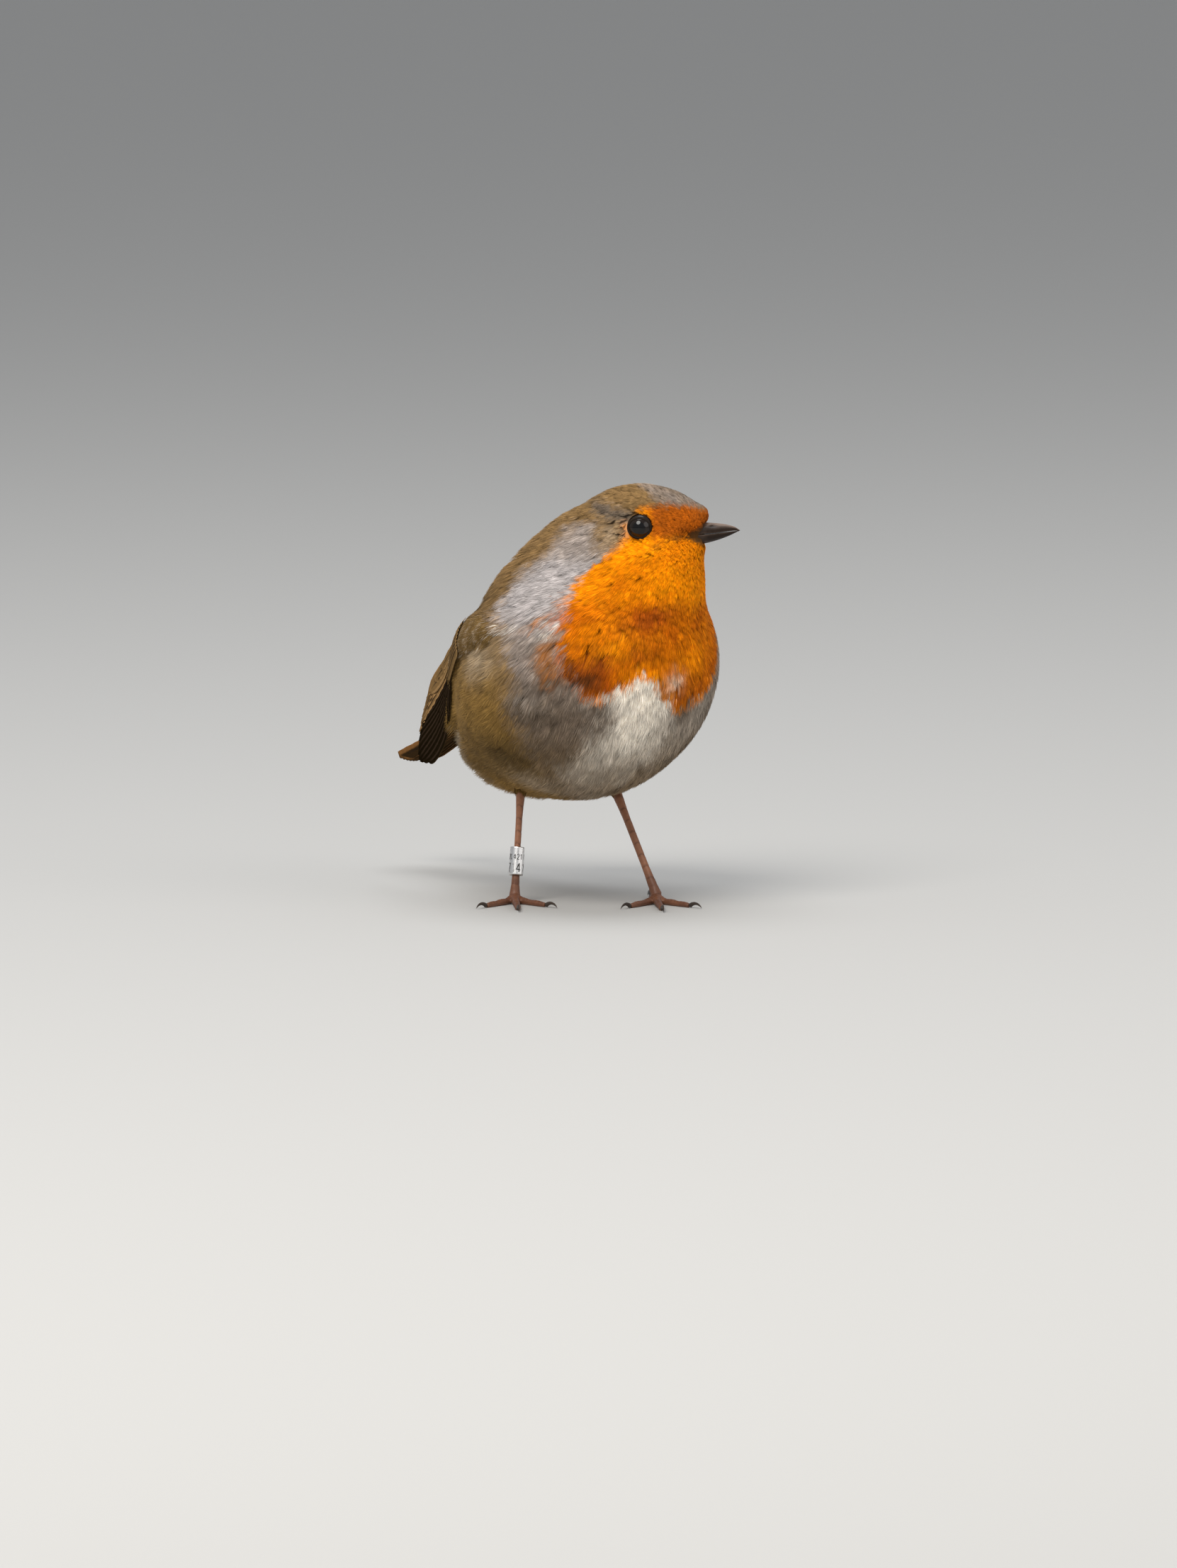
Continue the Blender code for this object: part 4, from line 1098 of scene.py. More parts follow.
def wingLayer(side):
    # the solid wing's outer face as a smooth height over the wing's plan
    sign = 1 if side == "left" else -1
    tree = BVHTree.FromPolygons(*(part.tolist() for part in solidMesh("wing_" + side)))
    rows, heights = [], []
    for s in np.linspace(1, wingLong - 1, wing["fitAlong"][1]):
        for v in np.linspace(-9, 14, wing["fitUp"][1]):
            x, z = wristPoint + s * wingAlong + v * wingUp
            hit = tree.ray_cast(Vector((x, sign * 60, z)), Vector((0, -sign, 0)))[0]
            if hit is not None:
                rows.append((s, v))
                heights.append(abs(hit.y))
    rows = np.array(rows)
    fit = np.linalg.lstsq(wingTerms(rows[:, 0], rows[:, 1]), np.array(heights), rcond=None)[0]

    def place(plan, depth):
        s, v = plan[..., 0], plan[..., 1]
        held = np.clip(v, wingEdge("lowEdge", s) - 1.0, wingEdge("highEdge", s) + 1.0)
        out = wingTerms(np.clip(s, 0, wingLong), held) @ fit - depth
        flat = wristPoint + s[..., None] * wingAlong + v[..., None] * wingUp
        return np.stack([flat[..., 0], sign * out, flat[..., 1]], axis=-1)

    return place


# primaries and their coverts near black: dark brown quills with painted shade
primaryQuillPaintedShade = quillMaterial("primaryQuillPaintedShade", hue(0.011, 0.007, 0.003), hue(0.036, 0.022, 0.010), 0.13)
greaterQuill = quillMaterial("greaterCovert", hue(0.175, 0.105, 0.043), hue(0.25, 0.152, 0.063), 0.24, 0.5)
wingRows = {  # each from its lowest feather to its highest, in plan along and up the wing
    "primaries": {
        "tips": ((62.0, -4.0), (65.6, -2.4), (68.4, -1.0), (69.7, 0.0), (69.0, 1.0), (67.3, 2.0),
                 (65.4, 2.9), (63.5, 3.8), (61.7, 4.7)),
        "start": ((30, 1.0), (27, 5.0)), "bend": ((50, -9.6), (49, 3.6)), "bow": 0.9,
        "outer": (1.15, 1.65), "inner": 2.2, "depth": 0.62, "step": -0.05,
        "shape": {"rows": 22, "blunt": 0.74}, "finish": primaryQuillPaintedShade, "slot": "quills",
    },
    "secondaries": {
        "tips": ((64.0, 4.5), (62.0, 5.6), (60.2, 6.5), (58.4, 7.3), (56.6, 8.0), (54.8, 8.6)),
        "start": ((24, 4.4), (22, 7.8)), "bend": ((42, 7.8), (42, 10.0)), "bow": 1.0,
        "outer": (1.5, 1.5), "inner": 2.4, "depth": 0.12, "step": -0.05,
        "shape": {"rows": 20, "blunt": 0.84},
        "finish": quillMaterial("secondaryQuill", hue(0.20, 0.115, 0.046), hue(0.34, 0.195, 0.08), 0.34),
        "slot": "quills",
    },
    "tertials": {
        "tips": ((52.4, 8.8), (47.6, 9.4), (42.0, 9.8)),
        "start": ((18, 5.6), (16, 7.8)), "bend": ((34, 8.0), (30, 10.0)), "bow": 1.0,
        "outer": (2.4, 2.4), "inner": 2.3, "depth": -0.22, "step": -0.09,
        "shape": {"rows": 20, "blunt": 0.78},
        "finish": quillMaterial("tertialQuill", hue(0.19, 0.112, 0.045), hue(0.32, 0.19, 0.08), 0.24),
        "slot": "quills",
    },
    "primaryCoverts": {
        "tips": [(41 - 2.4 * i, wingEdge("lowEdge", 41 - 2.4 * i) + (1.1 + 0.9 * i)) for i in range(5)],
        "start": ((22, 2.6), (18, 5.4)), "bend": ((33, -1.2), (25, 4.8)), "bow": 1.0,
        "outer": (1.0, 1.0), "inner": 1.5, "depth": 0.16, "step": -0.05,
        "shape": {"rows": 12, "blunt": 0.72}, "finish": primaryQuillPaintedShade, "slot": "quills",
    },
    "greaterCoverts": {
        "tips": [(30.5 - 2.2 * (i / 8) + 0.5 * (i % 2), 1.6 + 9.0 * (i / 8)) for i in range(9)],
        "start": ((14.5, 1.8), (14.5, 8.4)), "bend": ((22.5, 1.2), (22.5, 9.8)), "bow": 1.0,
        "outer": (1.5, 1.5), "inner": 1.5, "depth": -0.08, "step": -0.025,
        "shape": {"rows": 12, "blunt": 0.72, "thick": 0.08},
        "finish": greaterQuill,
        "slot": "plumage_upper",
    },
}


def covertMarks(places):  # brown, with buff tips towards the wing's lower front
    across = (places[..., (0, 2)] - wristPoint) @ wingUp
    clump = wobble(places, 0.7, 4.0)
    pale = ease(0.1, 0.9, clump) * (0.20 + 0.26 * (1 - ease(2, 8, across)))
    dark = 0.36 - 0.36 * clump - 0.3 * pale
    none = np.zeros_like(pale)
    return np.stack([none, none, none], -1), np.clip(np.stack([0.75 + none, pale, dark], -1), 0, 1)


def growCoverts(side, place):  # soft small coverts over the front of the wing
    count = int(wing["softCoverts"] * coatThin)
    s = rng.uniform(-1.5, 1, count) + 20.5 * rng.uniform(0, 1, count) ** 0.9
    low, high = wingEdge("lowEdge", s), wingEdge("highEdge", s)
    plan = np.stack([s, low + 0.2 + (high - low - 0.8) * rng.uniform(0, 1, count)], axis=1)
    start, outward = nearestOn(envelope, place(plan, 0.0))
    length = rng.uniform(4.6, 6.8, count)
    path = followLie(start, outward, length, rng.normal(0, coat["turn"], count), coat["steps"])
    grown = fans(path, place(plan, 0.8), length, length, np.full(count, 0.9), 0.02 * length, covertMarks)
    addCoat("smallCoverts" + side.capitalize(), grown, "plumage_upper")


def between(pair, share):  # part of the way from the first feather of a row to the last
    first, last = np.array(pair, float)
    return first + (last - first) * share


def buildWing(side):
    place, cap = wingLayer(side), side.capitalize()
    for name, row in wingRows.items():
        vanes = []
        for i, tip in enumerate(row["tips"]):
            share = i / (len(row["tips"]) - 1)
            start = between(row["start"], share)
            bend = between(row["bend"], (share, share ** row["bow"]))
            depth = row["depth"] + row["step"] * i
            outer = between(row["outer"], share)
            vanes.append(vaneMesh(place, start, bend, tip, outer, row["inner"], depth, **row["shape"]))
        replaces = ["wing_" + side] if name == "primaries" else ()
        addVanes(name + cap, vanes, row["finish"], row["slot"], replaces)
    growCoverts(side, place)


for side in ("left", "right"):
    buildWing(side)
print("wings dressed")

tail = {  # twelve feathers, the middle pair on top
    "root": (-46.5, 0, 39.8), "tip": (-84.0, 0, 25.9),
    "camber": -2.3, "hidden": 7.0,  # the quills start this far inside the body
    "rootSpread": 3.0, "tipSpread": 5.6,  # how far the outermost shaft lies from the middle
    "middle": 1.1,  # how far the tips of the middle pair lie from it
    "webs": (1.8, 3.0),
    # how many, how far back they start, how long, which side and how deep
    "coverts": {"Upper": (230, 6.0, 7.5, 1.0, -0.5), "Under": (230, 4.0, 7.0, -1.0, 0.75)},
    "covertsWide": 4.7,
}
# near-black tail webs: dark brown quills with painted shade; the outer pair keeps rufous fringes
tailQuillPaintedShade = quillMaterial("tailQuillPaintedShade", hue(0.040, 0.024, 0.011), hue(0.115, 0.060, 0.024), 0.26)
tailEdge = quillMaterial("outerTailQuill", hue(0.050, 0.028, 0.012), hue(0.31, 0.145, 0.05), 0.40)


def rumpMarks(places):  # brown like the back
    none = np.zeros(places.shape[:-1])
    dark = 0.24 + 0.12 * wobble(places, 1.5, 4.0)
    return np.stack([none, none, none], -1), np.stack([0.3 + none, none, dark], -1)


def growTailCoverts(place, up):  # short feathers over the quills' roots, above and below
    for name, (wanted, reach, long, side, clear) in tail["coverts"].items():
        count = int(wanted * coatThin)
        w = tail["covertsWide"] * rng.uniform(-1, 1, count)
        a = rng.uniform(-6, reach, count) - 0.05 * w**2
        length = long * rng.uniform(0.85, 1.15, count)
        t = np.linspace(0, 1, coat["steps"] + 1)
        sway = rng.normal(0, 0.08, count)[:, None] + 0.02 * w[:, None]
        plan = np.stack([a[:, None] + length[:, None] * t, w[:, None] + length[:, None] * t * sway], -1)
        centre = place(plan, clear - side * 0.6 * (1 - t) * np.ones((count, 1)))
        facing = np.broadcast_to(side * up, centre.shape)
        across = np.broadcast_to(np.array((0.0, -side, 0.0)), centre.shape)
        sunk, loose = np.full(count, 0.9), 0.03 * length
        marks = rumpMarks if side > 0 else markings
        grown = fans((centre, facing, across), centre[:, 0], length, length, sunk, loose, marks)
        addCoat("tailCoverts" + name, grown, "plumage_upper" if side > 0 else "plumage_pale")


def buildTail():
    root, tip = np.array(tail["root"]), np.array(tail["tip"])
    run = tip - root
    long = np.linalg.norm(run)
    along = run / long
    up = np.array((along[2], 0, -along[0]))

    def place(plan, depth):
        a, w = plan[..., 0], plan[..., 1]
        sag = tail["camber"] * ((np.clip(w, -7, 7) / 7) ** 2 - 0.5 * np.clip(a / long, 0, 1))
        out = root + a[..., None] * along - (depth + sag)[..., None] * up
        return out + w[..., None] * np.array((0, 1.0, 0))

    middle, webs = tail["middle"], tail["webs"]
    outer, vanes = [], []
    for i in range(5, -1, -1):  # the outermost pair lies lowest
        share = i / 5
        for sign in (1, -1):
            aside = middle + (tail["tipSpread"] - middle) * share
            end = (long + 1.3 * (1 - share) + 0.2 * share, sign * aside)
            start = (-tail["hidden"], sign * (0.5 + tail["rootSpread"] * share))
            bend = (long * 0.5, sign * (0.8 + (tail["tipSpread"] - 2.5) * share))
            depth = -0.42 + 0.15 * i + 0.03 * sign
            shape = {"outerIsLow": sign < 0, "rows": 30, "blunt": 0.965}
            made = vaneMesh(place, start, bend, end, webs[0], webs[1] - 0.2 * i, depth, **shape)
            (outer if i > 3 else vanes).append(made)
    addVanes("tailFeathers", vanes, tailQuillPaintedShade, "quills", ["tail"])
    addVanes("tailEdges", outer, tailEdge, "quills")
    growTailCoverts(place, up)


buildTail()
print("tail dressed")


# horn, skin and metal
def grainGroup():
    inputs = {"Base": hue(0.045, 0.036, 0.032), "Pale": hue(0.30, 0.22, 0.17)}
    inputs.update({"Pale Share": 0.0, "Grain Share": 0.3, "Scale": 600.0})
    tree, given, result = newGroup("fineGrain", inputs)
    grain = noise(tree, given["Scale"], 5.0, 0.6)
    share = plus(tree, given["Pale Share"], swingOf(tree, noise(tree, 240.0, 3.0), 0.5), clamp=True)
    colour = mixColour(tree, share, given["Base"], given["Pale"])
    shade = plus(tree, 1.0, times(tree, swingOf(tree, grain, given["Grain Share"]), 2.0))
    feed(tree, result, {"Colour": shaded(tree, colour, shade), "Height": grain})
    return tree


fineGrain = grainGroup()


def grainMaterial(name, base, pale, fixed, paleShare, grain, scale, relief=0.3):
    made, tree, shader = newMaterial(name, fixed)
    if paleShare == "tint":  # painted on the mesh
        paleShare = channels(tree, attribute(tree, "tint"))[0]
    sockets = {"Base": base, "Pale": pale, "Pale Share": paleShare, "Grain Share": grain, "Scale": scale}
    useGroup(tree, shader, fineGrain, sockets, relief, 0.04)
    return made


def loft(rings):  # triangles through equal rings of points, with a fan at each end
    rings = np.array(rings)
    rows, count = rings.shape[:2]
    points = np.concatenate([rings.reshape(-1, 3), rings[0].mean(0)[None], rings[-1].mean(0)[None]])
    triangles = []
    for k in range(rows - 1):
        for i in range(count):
            j = (i + 1) % count
            a, b, c, d = k * count + i, k * count + j, (k + 1) * count + j, (k + 1) * count + i
            triangles += [(a, b, c), (a, c, d)]
    first, last = rows * count, (rows - 1) * count
    for i in range(count):
        j = (i + 1) % count
        triangles += [(first, j, i), (first + 1, last + i, last + j)]
    return points, facingOut(points, np.array(triangles))


bill = {  # forward and up of the head's centre
    "start": 8.1, "long": 14.6, "halfWidth": 4.0, "upper": 2.35, "lower": 2.4,
    "slit": 0.10,  # half the gap between the halves
    "drop": 2.15, "rise": 1.1,  # where the slit starts, and how far it climbs towards the tip
    "thin": 0.14,  # least half width and height, at the tip
    "hookFrom": 0.88, "hook": 0.24,  # the upper tip hooks down a little
    "nostril": {"forward": 16.6, "up": -0.15, "long": 0.85, "high": 0.26, "deep": 0.42},
}
hornFixed = {"Roughness": 0.36, "Specular IOR Level": 0.15, "Coat Weight": 0.05, "Coat Roughness": 0.25}
hornTint = (hue(0.017, 0.009, 0.005), hue(0.24, 0.165, 0.125))
billHorn = grainMaterial("billHorn", *hornTint, hornFixed, "tint", 0.3, 900.0)


def nostrilAt(forward, high):  # how deep a spot of the upper half is pressed in
    n = bill["nostril"]
    gone = ((forward - n["forward"] - 0.5 * (high - n["up"])) / n["long"]) ** 2
    return n["deep"] * np.exp(-gone - ((high - n["up"]) / n["high"]) ** 2)


def billSection(t, upperHalf):  # a ring of points across one half, and how pale each is
    sign, height = (1, bill["upper"]) if upperHalf else (-1, bill["lower"])
    forward = bill["start"] + bill["long"] * t * (1 if upperHalf else 0.985)
    narrowing = (1 - t) ** 1.35 * 0.62 + (1 - t) ** 0.5 * 0.38
    half = max(bill["halfWidth"] * narrowing * (1 if upperHalf else 0.97), bill["thin"])
    vault = (1 - t**3.0) ** 0.76 if upperHalf else (1 - t**2.0) ** 0.85
    deep = max(height * vault, bill["thin"])
    edge = -bill["drop"] + bill["rise"] * t - 0.25 * np.sin(np.pi * t) + sign * bill["slit"]
    if upperHalf and t > bill["hookFrom"]:
        edge -= bill["hook"] * ((t - bill["hookFrom"]) / (1 - bill["hookFrom"])) ** 2
    ring, tint = [], []
    for a in np.linspace(0, np.pi, 24):
        ridge = 0.10 * mound(a - np.pi / 2, 0.30) * deep
        wide = half * np.cos(a)
        high = edge + sign * (deep * abs(np.sin(a)) ** 0.92 + ridge)
        pressed = nostrilAt(forward, high) if upperHalf else 0.0
        ring.append(fromHead(forward, wide - np.sign(wide) * min(pressed, abs(wide) * 0.5), high))
        rim = mound(high - edge, 0.22)
        # painted highlight: the top of the upper half is paler; the nostril's dent is darker, painted shade
        paintedTopHighlight = np.sin(a) ** 4 * ease(0.2, 0.45, np.array(t)) if upperHalf else 0.0
        base = (0.0 if upperHalf else 0.06) * ease(0.75, 0.4, np.array(t))
        tint.append(float(0.18 * rim + 0.8 * paintedTopHighlight + base - 0.06) * (1 - pressed / bill["nostril"]["deep"]))
    for c in np.linspace(-1, 1, 8)[1:-1]:  # the face that meets the other half
        ring.append(fromHead(forward, half * c, edge + sign * 0.12 * (1 - c * c) * min(1, deep)))
        tint.append(0.3)
    return ring, tint


for which in ("upper", "lower"):
    sections = [billSection(t, which == "upper") for t in np.linspace(0, 1, 44)]
    points, triangles = loft([ring for ring, tint in sections])
    tint = np.concatenate([tint for ring, tint in sections] + [(0.1, 0.3)])
    tint = {"tint": np.stack([tint, 0 * tint, 0 * tint], 1)}
    addPiece("billHorn" + which.capitalize(), points, triangles, billHorn, "bill", ["bill_" + which], tint)

eye = {
    "radius": 3.1, "swell": 0.10,  # and how far the clear front stands out
    "pupil": 0.40, "iris": 0.72,  # shares of the part that shows
    "opening": 0.93, "high": 0.85, "lid": 0.24,  # the lid lies at this angle from the axis, lower than wide
    "rings": 40, "spokes": 48, "lidSpokes": 64, "lidRound": 10,
}


def eyeMaterial():
    fixed = {"Roughness": 0.1, "Specular IOR Level": 0.12, "Coat Weight": 0.45, "Coat Roughness": 0.03}
    made, tree, shader = newMaterial("eyeGlass", fixed)
    radial = channels(tree, attribute(tree, "iris"))[0]
    inner = remap(tree, radial, eye["pupil"] - 0.02, eye["pupil"] + 0.03, 0.0, 1.0)
    outer = remap(tree, radial, eye["iris"] - 0.10, eye["iris"], 1.0, 0.0)
    share = times(tree, times(tree, inner, outer), plus(tree, noise(tree, 1500.0, 3.0), 0.3))
    colour = mixColour(tree, share, hue(0.0025, 0.002, 0.002), hue(0.014, 0.008, 0.005))
    feed(tree, shader, {"Base Color": colour})
    return made


eyeGlass = eyeMaterial()
lidFixed = {"Roughness": 0.6, "Specular IOR Level": 0.1}
lidTint = (hue(0.011, 0.008, 0.006), hue(0.10, 0.06, 0.03))
lidSkin = grainMaterial("lidSkin", *lidTint, lidFixed, 0.05, 0.5, 1800.0, 0.6)


def buildEyeball(side, at, axis, level):
    rings, radial = [], []
    for theta in np.linspace(0.02, np.pi - 0.02, eye["rings"]):
        radius = eye["radius"] + eye["swell"] * mound(theta, 0.75)
        ring = []
        for phi in np.arange(eye["spokes"]) * 2 * np.pi / eye["spokes"]:
            ray = np.cos(theta) * axis + np.sin(theta) * (np.cos(phi) * level + np.sin(phi) * upwards)
            ring.append(at + radius * ray)
            radial.append((min(theta / 1.2, 1), 0, 0))
        rings.append(ring)
    points, triangles = loft(rings)
    radial = {"iris": np.concatenate([radial, [(0, 0, 0), (1, 0, 0)]])}
    addPiece("eyeball" + side.capitalize(), points, triangles, eyeGlass, "eyes", ["eye_" + side], radial)


def buildLid(side, at, axis, level):  # a soft rim round the part of the eye that shows
    rings, count, tube = [], eye["lidSpokes"], eye["lidRound"]
    for phi in np.arange(count) * 2 * np.pi / count:
        theta = eye["opening"] * (1 - (1 - eye["high"]) * abs(np.sin(phi)) ** 1.5)
        spoke = np.cos(phi) * level + np.sin(phi) * upwards
        ray = np.cos(theta) * axis + np.sin(theta) * spoke
        away = unit(-np.sin(theta) * axis + np.cos(theta) * spoke)
        middle = at + (eye["radius"] + 0.02) * ray + away * 0.12
        ripple = 1 + 0.12 * np.sin(phi * 24)
        ring = []
        for psi in np.arange(tube) * 2 * np.pi / tube:
            ring.append(middle + eye["lid"] * (1.5 * away * np.cos(psi) + ray * np.sin(psi) * ripple))
        rings.append(ring)
    rings = np.array(rings)
    k, i = (v.ravel() for v in np.meshgrid(np.arange(count), np.arange(tube), indexing="ij"))
    a, b = k * tube + i, k * tube + (i + 1) % tube
    c, d = ((k + 1) % count) * tube + (i + 1) % tube, ((k + 1) % count) * tube + i
    triangles = np.concatenate([np.stack([a, b, c], 1), np.stack([a, c, d], 1)])
    points = rings.reshape(-1, 3)
    facing = pointNormals(points, triangles)
    if dot(facing, points - np.repeat(rings.mean(1), tube, axis=0)).sum() < 0:
        triangles = triangles[:, ::-1]
    addPiece("lid" + side.capitalize(), points, triangles, lidSkin, "eyes")


upwards = np.array((0, 0, 1.0))
for side in ("left", "right"):
    outward = leftward * (1 if side == "left" else -1)
    level = np.cross(upwards, outward)
    buildEyeball(side, eyesAt[side], outward, level)
    buildLid(side, eyesAt[side], outward, level)
print("bill and eyes made")

leg = {
    "hidden": 3.0, "sunk": 1.2,  # how far the shank runs on into the body and into the foot
    "cuff": 40,  # feathers round its top
    "voxel": 0.2, "clawVoxel": 0.11,
    "shankScute": 2.9, "shankGroove": 0.045, "toeScute": 1.05, "toeGroove": 0.07,
    "toes": ("inner", "middle", "outer", "hind"),
}
legFixed = {"Roughness": 0.5, "Specular IOR Level": 0.4}
legTint = (hue(0.10, 0.037, 0.018), hue(0.43, 0.185, 0.095))
clawTint = (hue(0.030, 0.022, 0.018), hue(0.14, 0.10, 0.075))
legSkin = grainMaterial("legSkin", *legTint, legFixed, "tint", 0.35, 1500.0, 0.5)
clawHorn = grainMaterial("clawHorn", *clawTint, hornFixed, 0.15, 0.3, 1500.0)


def longAxis(points):  # the way a long thin solid runs, upwards
    axis = np.linalg.svd(points - points.mean(0), full_matrices=False)[2][0]
    return axis if axis[2] > 0 else -axis


def growCuff(cap, top, axis):  # a few feathers hang round the top of the shank
    count = leg["cuff"]
    around = rng.uniform(0, 2 * np.pi, count)
    level = unit(np.cross(axis, (0.0, 1.0, 0.0)))
    out = np.cos(around)[:, None] * level + np.sin(around)[:, None] * np.cross(axis, level)
    length = rng.uniform(2.6, 3.8, count)
    t = np.linspace(0, 1, coat["steps"] + 1)
    radius = 2.1 - 1.1 * t**0.7
    centre = top + out[:, None, :] * radius[None, :, None] + axis * (2.9 - length[:, None] * t)[..., None]
    facing = np.repeat(unit(out + 0.3 * axis)[:, None, :], len(t), axis=1)
    path = (centre, facing, unit(np.cross(facing, np.broadcast_to(-axis, facing.shape))))
    grown = fans(path, centre[:, 0], length, length, np.full(count, 0.3), 0.05 * length)
    addCoat("shankCuff" + cap, grown, "plumage_pale")


def buildShank(side, cap):
    points, triangles = remeshed([solidMesh("tarsus_" + side)], leg["voxel"], 4)
    axis = longAxis(points)
    along = (points - points.mean(0)) @ axis
    low, high = along.min(), along.max()
    normals = pointNormals(points, triangles)
    growCuff(cap, points[along > high - 0.6].mean(0), axis)
    ankle = points[along < low + 0.9]
    ankleAt = ankle.mean(0)
    spread = ankle - ankleAt
    ankleWide = np.linalg.norm(spread - (spread @ axis)[:, None] * axis, axis=1).max()
    points = points + axis * (leg["hidden"] * ease(high - 1.2, high, along))[:, None]
    points = points - axis * (leg["sunk"] * ease(low + 0.9, low, along))[:, None]
    front = ease(-0.2, 0.6, normals[:, 0])
    wave = (along / leg["shankScute"] + 0.06 * np.sin(3 * normals[:, 1])) % 1
    groove = mound(wave - 0.5, 0.07) * front
    points = points - normals * (leg["shankGroove"] * groove)[:, None]
    # darker over the lowest 5 mm towards the foot: painted shade
    tint = np.clip(0.55 - 0.5 * ease(low + 5, low, along) - 0.35 * groove + 0.1 * (1 - front), 0, 1)
    tint = {"tint": np.stack([tint] * 3, 1)}
    addPiece("shank" + cap, points, triangles, legSkin, "legs", ["tarsus_" + side], tint)
    return axis, ankleAt, ankleWide


def alongToes(points, side):  # how far along its nearest toe each point lies
    flat = np.array((1, 1, 0))
    foot = points[points[:, 2] > points[:, 2].max() - 0.4].mean(0)
    foot[2] = 1.0
    best, along = np.full(len(points), 1e9), np.zeros(len(points))
    for toe in leg["toes"]:
        direction = unit((boxCentre(f"claw_{side}_{toe}") - origin - foot) * flat)
        run = (points - foot) @ direction
        away = np.linalg.norm((points - foot - run[:, None] * direction) * flat, axis=1) + 3.0 * (run < 0)
        closer = away < best
        best, along = np.where(closer, away, best), np.where(closer, run, along)
    return along


def buildFoot(side, cap, axis, ankleAt, ankleWide):
    points, triangles = remeshed([solidMesh("foot_" + side)], leg["voxel"], 3)
    # the foot's top narrows to the shank
    offAxis = points - ankleAt - ((points - ankleAt) @ axis)[:, None] * axis
    reach, highest = np.linalg.norm(offAxis, axis=1), points[:, 2].max()
    narrow = np.clip(1 - ankleWide * 1.02 / np.maximum(reach, 1e-6), 0, 1)
    narrow = narrow * ease(highest - 2.6, highest - 0.5, points[:, 2])
    points = points - offAxis * narrow[:, None]
    normals = pointNormals(points, triangles)
    along = alongToes(points, side)
    top = ease(0.05, 0.6, normals[:, 2]) * (points[:, 2] < 3.2)
    groove = mound((along / leg["toeScute"]) % 1 - 0.5, 0.12) * top * (along > 1.2)
    points = points - normals * (leg["toeGroove"] * groove)[:, None]
    points[:, 2] = np.maximum(points[:, 2], 0.0)
    # the foot is kept far darker than the shank: painted shade
    tint = np.clip(0.12 - 0.12 * groove + 0.12 * ease(0.1, 0.6, -normals[:, 2]), 0, 1)
    tint = {"tint": np.stack([tint] * 3, 1)}
    addPiece("foot" + cap, points, triangles, legSkin, "legs", ["foot_" + side], tint)


def buildLeg(side):
    cap = side.capitalize()
    buildFoot(side, cap, *buildShank(side, cap))
    for toe in leg["toes"]:
        node = f"claw_{side}_{toe}"
        points, triangles = remeshed([solidMesh(node)], leg["clawVoxel"], 2)
        addPiece("claw" + cap + toe.capitalize(), points, triangles, clawHorn, "claws", [node])


for side in ("left", "right"):
    buildLeg(side)
print("legs made")

band = {
    "inner": 1.30, "outer": 1.62, "soft": 0.06,
    "gap": 0.07, "lip": 0.16, "turns": 96,  # the seam's gap in radians, and how far its lips stand out
    "seamAt": 205,  # degrees round the shank
    "facing": (0.886, -0.452, 0.0),  # the numbers' middle faces this way
    # digits, then their base, height, step and stroke
    "rows": (("271405", 0.6, 2.0, 1.25, 0.24), ("57042171", 3.5, 1.2, 0.8, 0.16)),
    "inkHigh": 0.016, "inkDeep": 0.05,
}
digitStrokes = {  # in a box as wide as 0.75 of the step and one height tall
    "0": ((0.38, 1), (0.1, 0.85), (0.02, 0.5), (0.1, 0.15), (0.38, 0), (0.65, 0.15), (0.73, 0.5),
          (0.65, 0.85), (0.38, 1)),
    "1": ((0.15, 0.8), (0.42, 1), (0.42, 0)),
    "2": ((0.05, 0.8), (0.2, 0.97), (0.4, 1), (0.62, 0.93), (0.7, 0.74), (0.6, 0.5), (0.03, 0), (0.75, 0)),
    "4": ((0.55, 0), (0.55, 1), (0.02, 0.3), (0.75, 0.3)),
    "5": ((0.68, 1), (0.12, 1), (0.07, 0.55), (0.36, 0.63), (0.64, 0.52), (0.72, 0.3), (0.6, 0.08),
          (0.34, 0), (0.03, 0.1)),
    "7": ((0.02, 1), (0.74, 1), (0.28, 0)),
}


def bandMaterial():
    made, tree, shader = newMaterial("bandAluminium", {"Metallic": 1.0, "Roughness": 0.42})
    around = channels(tree, attribute(tree, "around"))
    spot = put(tree, "CombineXYZ", {0: times(tree, around[0], 3.0), 1: times(tree, around[1], 90.0)})[0]
    brush = noise(tree, 4.0, 5.0, 0.7, spot)
    worn = remap(tree, noise(tree, 1100.0, 4.0), 0.52, 0.68, 0.0, 1.0)
    colour = mixColour(tree, worn, hue(0.74, 0.73, 0.72), hue(0.42, 0.41, 0.40))
    rough = plus(tree, times(tree, brush, 0.35), times(tree, worn, 0.15))
    feed(tree, shader, {"Base Color": colour, "Roughness": plus(tree, rough, 0.16)})
    bump(tree, shader, plus(tree, brush, times(tree, worn, -0.6)), 0.35, 0.03)
    return made


def bandSection(low, high):  # radius and height all round a cut through the metal
    inner, outer, soft = band["inner"], band["outer"], band["soft"]
    section = [(inner, low + soft), (inner + soft, low), (outer - soft, low), (outer, low + soft)]
    section += [(outer, h) for h in np.linspace(low + 0.3, high - 0.3, 7)]
    section += [(outer, high - soft), (outer - soft, high), (inner + soft, high), (inner, high - soft)]
    return section + [(inner, h) for h in np.linspace(high - 0.3, low + 0.3, 7)]


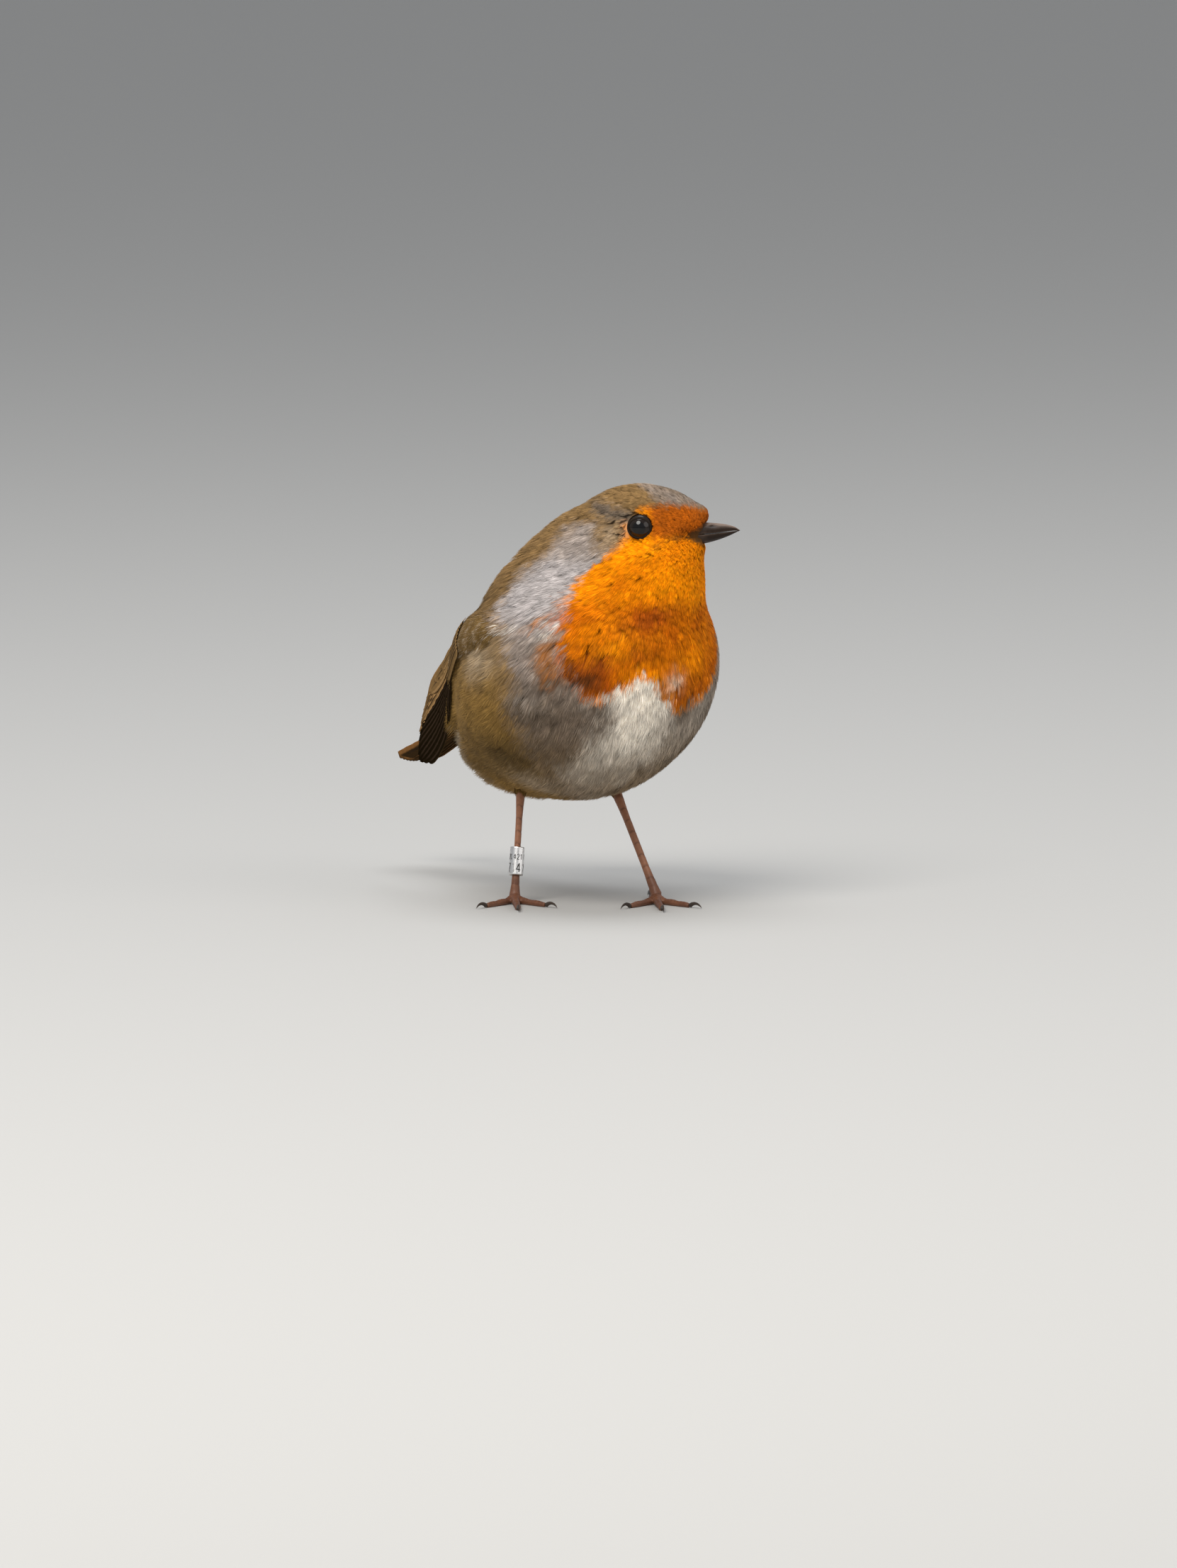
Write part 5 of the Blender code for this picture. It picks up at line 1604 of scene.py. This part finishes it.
def buildBand(middle, axis, spoke, other, low, high):
    section = bandSection(low, high)
    rings, around = [], []
    for share in np.linspace(0, 1, band["turns"]):
        angle = band["gap"] / 2 + share * (2 * np.pi - band["gap"]) + np.radians(band["seamAt"])
        lip = band["lip"] * (mound(share, 0.022) + mound(1 - share, 0.022))
        out = spoke * np.cos(angle) + other * np.sin(angle)
        dent = 0.015 * np.sin(angle * 3 + 1) + 0.01 * np.sin(angle * 7)
        rings.append([middle + out * (r + lip * 0.6 + dent) + axis * h for r, h in section])
        around += [(share, (h - low) / (high - low), 0) for r, h in section]
    points, triangles = loft(rings)
    around = np.concatenate([around, [(0, 0.5, 0), (1, 0.5, 0)]])
    addPiece("legBand", points, triangles, bandMaterial(), "ring", ["leg_ring"], {"around": around})


def digitLine(digit, step, tall):  # a stroke in even short lengths
    line = np.array(digitStrokes[digit], float) * (0.95 * step, tall)
    far = np.concatenate([[0], np.cumsum(np.linalg.norm(np.diff(line, axis=0), axis=1))])
    at = np.linspace(0, far[-1], max(int(far[-1] / 0.12), 2))
    return np.stack([np.interp(at, far, line[:, 0]), np.interp(at, far, line[:, 1])], axis=1)


def buildNumbers(middle, axis, spoke, other, low):  # plain and made up, bent round the band
    facing = np.array(band["facing"])
    middleAngle = np.arctan2(facing @ other, facing @ spoke)
    rightward = other * np.cos(middleAngle) - spoke * np.sin(middleAngle)
    turn = 1 if rightward @ (0.454, 0.891, 0) > 0 else -1
    high, deep = band["inkHigh"], -band["inkDeep"]
    strokes = []
    for digits, base, tall, step, thick in band["rows"]:
        for k, digit in enumerate(digits):
            line = digitLine(digit, step, tall)
            side = unit(np.gradient(line, axis=0)) @ np.array(((0, 1), (-1, 0))) * thick / 2
            rings = []
            for edge, out in ((side, high), (side, deep), (-side, deep), (-side, high)):
                x, y = (line + edge).T
                angle = middleAngle + turn * (x + (k - len(digits) / 2) * step) / band["outer"]
                ray = spoke * np.cos(angle)[:, None] + other * np.sin(angle)[:, None]
                rings.append(middle + ray * (band["outer"] + out) + axis * (low + base + y)[:, None])
            strokes.append(loft(np.stack(rings, axis=1)))
    ink = newMaterial("bandNumbers", {"Base Color": hue(0.03, 0.028, 0.026), "Roughness": 0.6})[0]
    addPiece("legBandNumbers", *joined(strokes), ink, "ring")


ringPoints = solidMesh("leg_ring")[0]
ringMiddle, shankAxis = ringPoints.mean(0), longAxis(solidMesh("tarsus_right")[0])
ringHeights = (ringPoints - ringMiddle) @ shankAxis
firstSpoke = unit(np.cross(shankAxis, (0.0, 1.0, 0.0)))
ringFrame = (ringMiddle, shankAxis, firstSpoke, np.cross(shankAxis, firstSpoke), ringHeights.min())
buildBand(*ringFrame, ringHeights.max())
buildNumbers(*ringFrame)
print("band made")

view = {
    "centre": (-2.2, 1.9, 26.95),  # what the camera looks at
    "turn": 63.0,  # degrees from the bird's left flank round to its breast
    "rise": 6.0,
    "away": 2970.0,
    "lens": 300.0,
}
stage = {"size": 60.0, "tint": hue(0.46, 0.452, 0.437), "sky": 0.46}


def world(places):
    return Vector(((np.array(places) + origin) * mm).tolist())


def buildCamera():
    turn, rise = np.radians(view["turn"]), np.radians(view["rise"])
    towards = np.array((np.sin(turn) * np.cos(rise), -np.cos(turn) * np.cos(rise), np.sin(rise)))
    data = bpy.data.cameras.new("camera")
    data.lens = view["lens"]
    data.sensor_fit, data.sensor_height = "VERTICAL", 36.0
    data.clip_start, data.clip_end = 0.1, 100.0
    made = bpy.data.objects.new("camera", data)
    made.location = world(view["centre"]) + Vector((towards * view["away"] * mm).tolist())
    made.rotation_euler = Vector(towards.tolist()).to_track_quat("Z", "Y").to_euler()
    scene.collection.objects.link(made)
    scene.camera = made


def buildStage():
    half = stage["size"] / 2
    mesh = bpy.data.meshes.new("floor")
    corners = [(-half, -half, 0), (half, -half, 0), (half, half, 0), (-half, half, 0)]
    mesh.from_pydata(corners, [], [(0, 1, 2, 3)])
    floor = bpy.data.objects.new("floor", mesh)
    scene.collection.objects.link(floor)
    mesh.materials.append(newMaterial("paleFloor", {"Roughness": 0.8, "Base Color": stage["tint"]})[0])
    sky = bpy.data.worlds.new("studio")
    sky.use_nodes = True
    back = sky.node_tree.nodes["Background"]
    back.inputs["Color"].default_value = hue(0.93, 0.96, 1.0)
    back.inputs["Strength"].default_value = stage["sky"]
    scene.world = sky
    scene.view_settings.view_transform = "Standard"


lamps = {  # place in metres from the bird, size in metres, watts, tint
    "key": ((0.7, -0.85, 1.15), 0.9, 20.0, (1.0, 0.97, 0.92)),
    "top": ((-0.15, 0.0, 1.5), 1.2, 12.5, (0.96, 0.98, 1.0)),
    "fill": ((1.3, 0.7, 0.7), 1.2, 5.0, (1.0, 0.96, 0.92)),
}


def buildLamps():
    middle = world((0, 0, 50))
    for name, (at, size, watts, tint) in lamps.items():
        data = bpy.data.lights.new(name, "AREA")
        data.shape, data.size, data.energy, data.color = "DISK", size, watts, tint
        made = bpy.data.objects.new(name, data)
        made.location = middle + Vector(at)
        made.rotation_euler = Vector(at).to_track_quat("Z", "Y").to_euler()
        scene.collection.objects.link(made)


buildCamera()
buildStage()
buildLamps()
